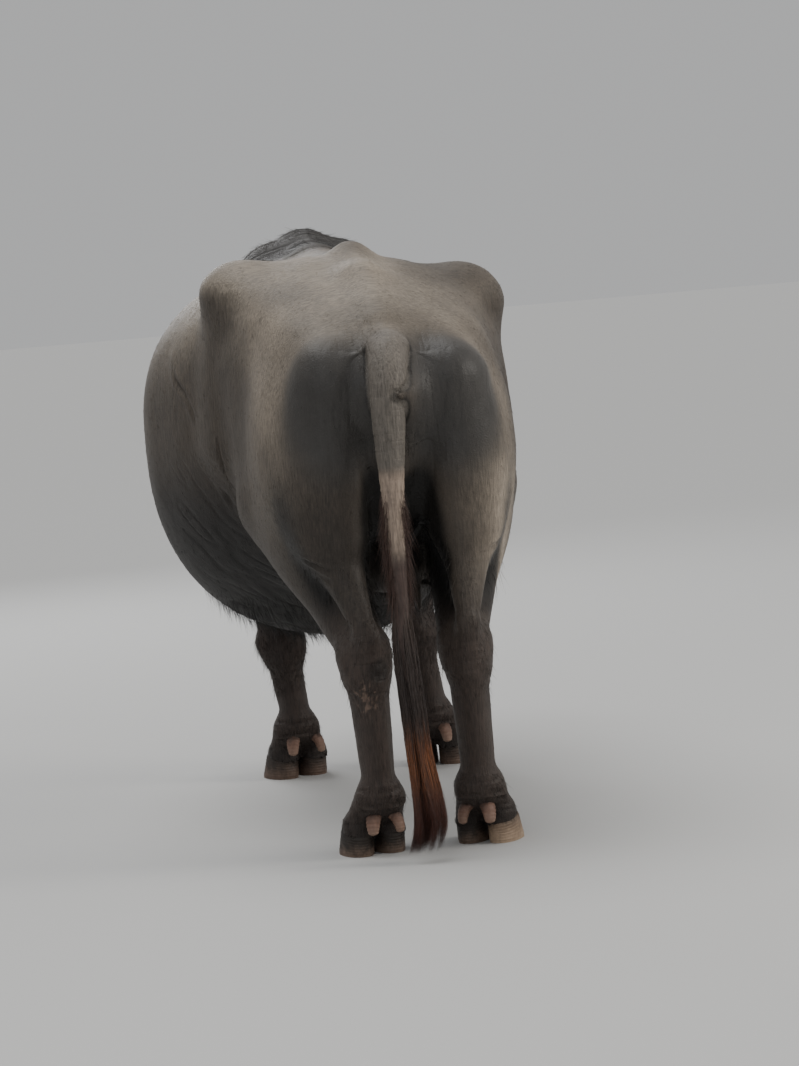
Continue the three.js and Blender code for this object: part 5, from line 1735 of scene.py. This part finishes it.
# Which way the coat lies: down and back on the body, down on the legs, to the nose on the face
def layOf(p, n):
    ahead, left = -p[:, 1], p[:, 0]
    way = np.tile([0.0, 0.35, -1.0], (len(p), 1))
    outward = above(n[:, 2], 0.3, 0.5)[:, None] * np.stack(
        [np.sign(left) * 1.1, np.full(len(p), 0.7), np.zeros(len(p))], 1
    )
    way = way + outward
    rear = above(p[:, 1], -120, 100)[:, None]
    way = mix(way, np.stack([np.sign(left) * 0.25, np.zeros(len(p)), -np.ones(len(p))], 1), rear)
    neck = above(ahead, 1400, 200)[:, None]
    way = mix(way, np.tile([0.0, 0.8, -0.6], (len(p), 1)), neck)
    q = headPlace(p)
    face = (above(q[:, 0], 20, 60) * (ahead > 1700))[:, None]
    way = mix(way, faceAlong - 0.2 * faceOut, face)
    way = way + 0.18 * np.stack([noise(p, 60, 71), noise(p, 60, 72), noise(p, 60, 73)], 1)
    way = way - n * np.einsum("ij,ij->i", way, n)[:, None]
    return unit(way)


# Grows one coat piece and sets it on the skin
def growCoat(name, look, growth, seed, lay=None, tone=None, slotName="hide"):
    draw = np.random.default_rng(seed)
    count = int(look["count"] * hairShare)
    roots, n, tint = rootsOnSkin(draw, count, growth)
    way = layOf(roots, n) if lay is None else unit(lay(roots, n))
    lift = look["lift"] * (0.6 + 0.8 * draw.random(count))
    way = unit(way + n * lift[:, None] + 0.22 * (draw.random((count, 3)) - 0.5))
    low, high = look["length"]
    length = mix(low, high, draw.random(count) ** 1.5)
    sway = look.get("sway", 0.12) * (draw.random((count, 3)) - 0.5) * 2
    fall = look.get("fall", 0.0)
    widths = mix(*look["width"], draw.random(count))
    roots = roots - n * 1.2

    def path(t):
        bend = way * t + sway * t * t - zAxis * fall * t * t
        bend = bend - n * (look.get("hug", 0.0) * t * t)
        return bend * length[:, None]

    # The tufts take the skin's colour beneath them, painted highlight and shade included
    rgb = tint * mix(0.55, 1.35, draw.random(count))[:, None] if tone is None else tone(draw, roots, tint)
    mesh = tuftMesh(name, roots, n, path, widths, look["segments"], rgb)
    piece(name, mesh, slotName)
    mesh.materials.append(bodyHair)


# Everywhere: short sparse hairs that lie close, fewer on the bare patches
shortCoat = {
    "count": 11400, "length": (9, 20), "width": (0.7, 1.3), "lift": 0.16, "hug": 0.10, "segments": 2,
}


def coatGrowth(p):
    grown = 1 - 0.85 * bareShare(p)
    face = (-p[:, 1] > 1700) & (headPlace(p)[:, 0] > 20)
    grown = grown * np.where(face, 0.0, 1)
    return grown * (p[:, 2] > 75) * (0.7 + 0.6 * smooth(noise(p, 110, 74) + 0.4))


for k in range(3):
    growCoat("coat_" + "abc"[k], shortCoat, coatGrowth, 100 + k)

faceCoat = {"count": 9000, "length": (4, 9), "width": (0.45, 0.8), "lift": 0.2, "hug": 0.1, "segments": 2}


def faceGrowth(p):
    q = headPlace(p)
    face = (-p[:, 1] > 1700) * above(q[:, 0], 10, 30) * below(q[:, 0], 450, 30)
    for side in (1, -1):
        face = face * (np.linalg.norm(p - eyeCentre(side), axis=1) > 34)
    return face


growCoat("coat_face", faceCoat, faceGrowth, 110)

footCoat = {"count": 7000, "length": (8, 18), "width": (0.6, 1.1), "lift": 0.22, "hug": 0.08, "segments": 2}


def footGrowth(p):
    return (p[:, 2] < 190) * (0.4 + 0.6 * below(p[:, 2], 150, 60))


growCoat("coat_feet", footCoat, footGrowth, 111)
print("short coat done")


# Long thin hair where it breaks the outline, each kind with how thickly it grows at points
def bellyGrowth(p):
    ahead = -p[:, 1]
    return below(p[:, 2], 570, 60) * above(ahead, 430, 120) * below(ahead, 1320, 150)


def groinGrowth(p):
    return within(p, at(90, 0, 640), (170, 120, 90)) + within(p, at(250, 0, 600), (190, 190, 110))


def chestGrowth(p):
    brisket = within(p, at(1500, 0, 700), (220, 200, 200), 0.6)
    return brisket + within(p, at(1700, -60, 900), (200, 140, 110), 0.6)


def pollGrowth(p):
    return within(p, inHead(8, 0, 0), (70, 72, 70))


def muzzleGrowth(p):
    q = headPlace(p)
    return (p[:, 1] < -1700) * above(q[:, 0], 425, 40) * smooth((-q[:, 2] - 50) / 40)


def shoulderGrowth(p):
    ahead = -p[:, 1]
    onNeck = above(ahead, 1440, 120) * below(ahead, 2000, 60)
    onTop = 0.25 + 0.75 * above(p[:, 2], 1200, 100)
    return within(p, at(1330, 0, 1330), (210, 230, 160), 0.6) + onNeck * onTop


def legGrowth(p):
    total = np.zeros(len(p))
    for leg in legs.values():
        joint = within(p, leg["joint"] + at(-20, 0, 0), (70, 70, 90), 0.6) * (0.25 if leg["hind"] else 1)
        total += joint + 0.8 * within(p, leg["fetlock"] + at(-40, 0, -14), (46, 60, 46), 0.6)
    return total


longCoats = {
    "belly_fringe": (bellyGrowth, {
        "count": 5200, "length": (12, 42), "width": (0.6, 1.2), "lift": 0.6, "fall": 0.5, "sway": 0.3,
        "segments": 3,
    }),
    "groin_hair": (groinGrowth, {
        "count": 2800, "length": (18, 46), "width": (0.7, 1.4), "lift": 0.55, "fall": 0.5, "sway": 0.35,
        "segments": 4,
    }),
    "chest_hair": (chestGrowth, {
        "count": 4400, "length": (18, 48), "width": (0.7, 1.3), "lift": 0.5, "fall": 0.5, "sway": 0.3,
        "segments": 3,
    }),
    "poll_hair": (pollGrowth, {
        "count": 2600, "length": (14, 38), "width": (0.6, 1.1), "lift": 0.35, "fall": 0.1, "sway": 0.3,
        "segments": 3,
    }),
    "muzzle_hair": (muzzleGrowth, {
        "count": 900, "length": (7, 20), "width": (0.4, 0.6), "lift": 0.8, "fall": 0.2, "sway": 0.3,
        "segments": 3,
    }),
    "shoulder_hair": (shoulderGrowth, {
        "count": 5600, "length": (14, 34), "width": (0.7, 1.2), "lift": 0.32, "fall": 0.1, "sway": 0.25,
        "segments": 3,
    }),
    "leg_hair": (legGrowth, {
        "count": 5000, "length": (12, 30), "width": (0.6, 1.2), "lift": 0.36, "fall": 0.2, "sway": 0.3,
        "segments": 3,
    }),
}
for name, (growth, look) in longCoats.items():
    growCoat(name, look, growth, 200 + len(name))

# Hair along the edges and in the cup of each ear, and the lashes
earHair = {"count": 1200, "cupShare": 0.45, "length": (8, 26), "width": 0.8, "fall": 0.15}
lashes = {"count": 64, "length": 15.0, "width": 0.55, "fall": 0.45}


def growLine(name, look, roots, outs, ways, length, rgb):
    count = len(roots)
    sway = 0.25 * (np.random.default_rng(len(name)).random((count, 3)) - 0.5)

    def path(t):
        return (ways * t + sway * t * t - zAxis * look["fall"] * t * t) * length[:, None]

    mesh = tuftMesh(name, roots, outs, path, np.full(count, look["width"]), 4, rgb)
    piece(name, mesh, "hide")
    mesh.materials.append(bodyHair)


def growEarHair(word, side):
    draw = np.random.default_rng(400 + side)
    root, way, facing, across = earFrame(side)
    count = earHair["count"]
    cupped = draw.random(count) < earHair["cupShare"]
    t = draw.random(count) * np.where(cupped, 0.5, 0.82) + 0.12
    q = np.where(cupped, (draw.random(count) - 0.5) * 1.5, np.sign(draw.random(count) - 0.5) * 0.97)
    tt = t[:, None]
    lifted = np.where(cupped, earThick(t) / 2, 0) - earCup(t) * (1 - q * q)
    places = root + way * tt * earLength - earDroop * tt * tt * zAxis
    places = places + across * (q * earHalfWidth(t))[:, None] + facing * lifted[:, None]
    edge = across * np.sign(q)[:, None] * np.where(cupped, 0.15, 0.8)[:, None]
    ways = unit(edge + way * 0.55 + facing * np.where(cupped, 0.55, 0.1)[:, None])
    ways = unit(ways + 0.4 * (draw.random((count, 3)) - 0.5))
    length = mix(*earHair["length"], draw.random(count) ** 1.4)
    tone = hideColours["grey"] * mix(0.4, 1.4, draw.random(count))[:, None]
    growLine("ear_hair_" + word, earHair, places, np.tile(facing, (count, 1)), ways, length, tone)


def growLashes(word, side):
    outward, along, over = eyeFrame(side)
    count = lashes["count"]
    s = np.linspace(0.16, 0.9, count)
    roots = curvePoints(lidLine(side, True), s) + outward * 4.2 + over
    fan = unit(outward * 0.9 + over * 0.35 + np.outer(s - 0.5, along))
    tone = np.tile(hideColours["black"], (count, 1))
    length = np.full(count, lashes["length"])
    growLine("lashes_" + word, lashes, roots, np.tile(over, (count, 1)), fan, length, tone)


for word, side in (("left", 1), ("right", -1)):
    growEarHair(word, side)
    growLashes(word, side)
print("long coat done")

# The switch: long waved strands below the end of the tail, in locks, with a few loose ones above
switch = {
    "strands": 6200,
    "curl": 34,
    "pieces": 2,
    "locks": 34,
    "width": (1.1, 2.3),
    "segments": 8,
    "topSpread": (640, 270),  # heights between which the strands leave the tail
}
switchLine = [
    at(-116, 31, 600), at(-124, 35, 480), at(-132, 29, 360), at(-141, 24, 240), at(-152, 14, 120),
    at(-170, 12, 14),
]
switchHalf = profile((0, 22), (0.25, 27), (0.5, 28), (0.65, 31), (0.78, 38), (0.9, 44), (1, 40))
switchTop, switchEnd = 600, 14


# The middle of the switch at a height, straight down from the tail
def switchCentre(z):
    share = np.clip((switchTop - z) / (switchTop - switchEnd), 0, 1)
    return curvePoints(switchLine, share), share


def switchColour(z, tone):
    dark, rust, red = colour(56, 47, 43), colour(132, 82, 52), colour(82, 46, 36)
    rgb = mix(dark, colour(84, 72, 65), above(z, 430, 160)[:, None])
    rustShare = below(z, 292, 50) * above(z, 110, 80)
    rgb = mix(rgb, rust, (rustShare * (0.25 + 0.75 * tone))[:, None])
    rgb = mix(rgb, red, (below(z, 185, 80) * 0.85)[:, None])
    return rgb * mix(0.6, 1.45, tone)[:, None]


def growSwitch(name, count, seed):
    draw = np.random.default_rng(seed)
    lockOf = draw.integers(0, switch["locks"], count)
    own = np.random.default_rng(9)
    lockTurn = own.random(switch["locks"]) * 2 * np.pi
    lockDepth = np.sqrt(mix(0.12, 1.0, own.random(switch["locks"])))
    lockEnd = mix(64, 15, own.random(switch["locks"]) ** 0.5)
    lockWave = own.random(switch["locks"]) * 2 * np.pi
    spreadTurn, spreadDepth = draw.random(count) * 2 * np.pi, np.sqrt(draw.random(count))
    high, low = switch["topSpread"]
    start = mix(low, high, draw.random(count) ** 0.75)
    end = lockEnd[lockOf] + draw.random(count) ** 2.5 * 60
    swing = draw.random(count) * 2 * np.pi
    loose = (draw.random(count) < 0.06) * draw.random(count)
    tone = draw.random(count)

    def place(t):
        z = mix(start, end, t)
        centre, share = switchCentre(z)
        opened = smooth(0.25 + 1.25 * (start - z) / 220)
        half = switchHalf(share)
        wave = 0.16 * np.sin(z / 34 + lockWave[lockOf]) * share
        ofLock = 0.80 * lockDepth[lockOf] * opened
        ofStrand = 0.5 * mix(0.62, 0.20, above(share, 0.35, 0.6)) * spreadDepth
        swung = lockTurn[lockOf] + wave
        left = ofLock * np.cos(swung) + ofStrand * np.cos(spreadTurn)
        back = ofLock * np.sin(swung) + ofStrand * np.sin(spreadTurn)
        left = left + 0.06 * np.sin(z / 19 + swing) + loose * 0.35 * np.cos(swing) * share
        back = back + 0.06 * np.cos(z / 23 + swing) + loose * 0.25 * np.sin(swing) * share
        centre = centre + np.outer(half * left, xAxis) + np.outer(half * 0.86 * back, yAxis)
        curl = switch["curl"] * np.clip((95 - z) / 80, 0, 1) ** 2  # the tips turn to the left
        centre[:, 0] += curl * (0.5 + 0.5 * tone)
        centre[:, 2] = z
        return centre

    roots = place(0.0)
    outs = unit(roots - switchCentre(start)[0] + 0.01 * yAxis)
    outs[:, 2] = 0
    rows = [switchColour(mix(start, end, t), tone) for t in np.linspace(0, 1, switch["segments"] + 1)]
    corners = [3] * switch["segments"] + [1]
    rgb = np.concatenate([np.repeat(row[:, None], k, 1) for row, k in zip(rows, corners)], 1)
    widths = mix(*switch["width"], draw.random(count))
    mesh = tuftMesh(name, roots, unit(outs), lambda t: place(t) - roots, widths, switch["segments"], rgb)
    piece(name, mesh, "tail_hair", "tail_switch")
    mesh.materials.append(tailHair)


perPiece = int(switch["strands"] / switch["pieces"] * hairShare)
for k in range(switch["pieces"]):
    growSwitch("switch_" + "ab"[k], perPiece, 300 + k)

tailEdge = {
    "count": 1000, "length": (30, 85), "width": (0.8, 1.5), "lift": 0.12, "fall": 0.15, "sway": 0.12,
    "segments": 4,
}


def tailEdgeGrowth(p):
    height = below(p[:, 2], 830, 60) * above(p[:, 2], 560, 30)
    return tailShare(p) * height * smooth((np.abs(p[:, 0] - 30) - 12) / 6)


growCoat(
    "tail_edge", tailEdge, tailEdgeGrowth, 320,
    lay=lambda p, n: n * 0.10 - zAxis,
    tone=lambda draw, p, tint: mix(0.6, 1.5, draw.random(len(p)))[:, None] * colour(68, 50, 43),
    slotName="tail_hair",
)
print("switch done")

# A plain pale floor, soft light and the camera
# Millimetres from the tail root and degrees
view = {
    "right": 5,
    "far": 8200,
    "height": 1355,
    "yaw": 8.5,
    "pitch": 4.46,
    "roll": 4.75,
    "lens": 124.85,
}
floor = bpy.data.meshes.new("floor")
floor.from_pydata([(-60, -60, 0), (60, -60, 0), (60, 60, 0), (-60, 60, 0)], [], [(0, 1, 2, 3)])
floorPiece = bpy.data.objects.new("floor", floor)
bpy.context.scene.collection.objects.link(floorPiece)
floorLook, _, floorShader = newMaterial("floor", **{"Roughness": 0.85, "Specular IOR Level": 0.2})
floorShader.inputs["Base Color"].default_value = (0.44, 0.438, 0.43, 1)
floor.materials.append(floorLook)

yaw, pitch, roll = (math.radians(view[k]) for k in ("yaw", "pitch", "roll"))
levelRight = np.array([-math.cos(yaw), math.sin(yaw), 0])
levelAhead = np.array([-math.sin(yaw), -math.cos(yaw), 0])
ahead = math.cos(pitch) * levelAhead - math.sin(pitch) * zAxis
downward = -(math.sin(pitch) * levelAhead + math.cos(pitch) * zAxis)
right = math.cos(roll) * levelRight + math.sin(roll) * downward
down = -math.sin(roll) * levelRight + math.cos(roll) * downward
eye = -view["right"] * levelRight - view["far"] * levelAhead + view["height"] * zAxis
camera = bpy.data.objects.new("camera", bpy.data.cameras.new("camera"))
camera.data.lens = view["lens"]
camera.data.sensor_width = 36
camera.data.clip_end = 200
turned = Matrix.Identity(4)
for k, column in enumerate((right, -down, -ahead, toFrame(eye))):
    for row in range(3):
        turned[row][k] = column[row]
camera.matrix_world = turned
bpy.context.scene.collection.objects.link(camera)
bpy.context.scene.camera = camera

world = bpy.data.worlds.new("world")
world.use_nodes = True
backdrop = world.node_tree.nodes["Background"]
backdrop.inputs["Color"].default_value = (0.88, 0.885, 0.89, 1)
backdrop.inputs["Strength"].default_value = 0.54
bpy.context.scene.world = world
bodyMiddle = toFrame(at(700, 0, 900))
overhead = bpy.data.lights.new("overhead", "SUN")
overhead.energy = 2.2
overhead.angle = math.radians(50)
overheadLamp = bpy.data.objects.new("overhead", overhead)
overheadLamp.rotation_euler = (math.radians(14), math.radians(10), 0)
bpy.context.scene.collection.objects.link(overheadLamp)
lamps = {
    "rear": {"place": (2.2, 6.5, 3.6), "size": 3.2, "power": 60, "tint": (0.95, 0.97, 1.0)},
    "right": {"place": (-4.4, 2.6, 3.0), "size": 2.2, "power": 130, "tint": (1.0, 0.96, 0.90)},
    "front": {"place": (1.0, -6.0, 3.4), "size": 3.0, "power": 120, "tint": (0.97, 0.98, 1.0)},
}
for name, lamp in lamps.items():
    light = bpy.data.lights.new(name, "AREA")
    light.shape = "DISK"
    light.size = lamp["size"]
    light.energy = lamp["power"]
    light.color = lamp["tint"]
    made = bpy.data.objects.new(name, light)
    made.location = lamp["place"]
    aim = Vector(bodyMiddle) - made.location
    made.rotation_euler = aim.to_track_quat("-Z", "Y").to_euler()
    made.visible_camera = False
    bpy.context.scene.collection.objects.link(made)
print("stage done")
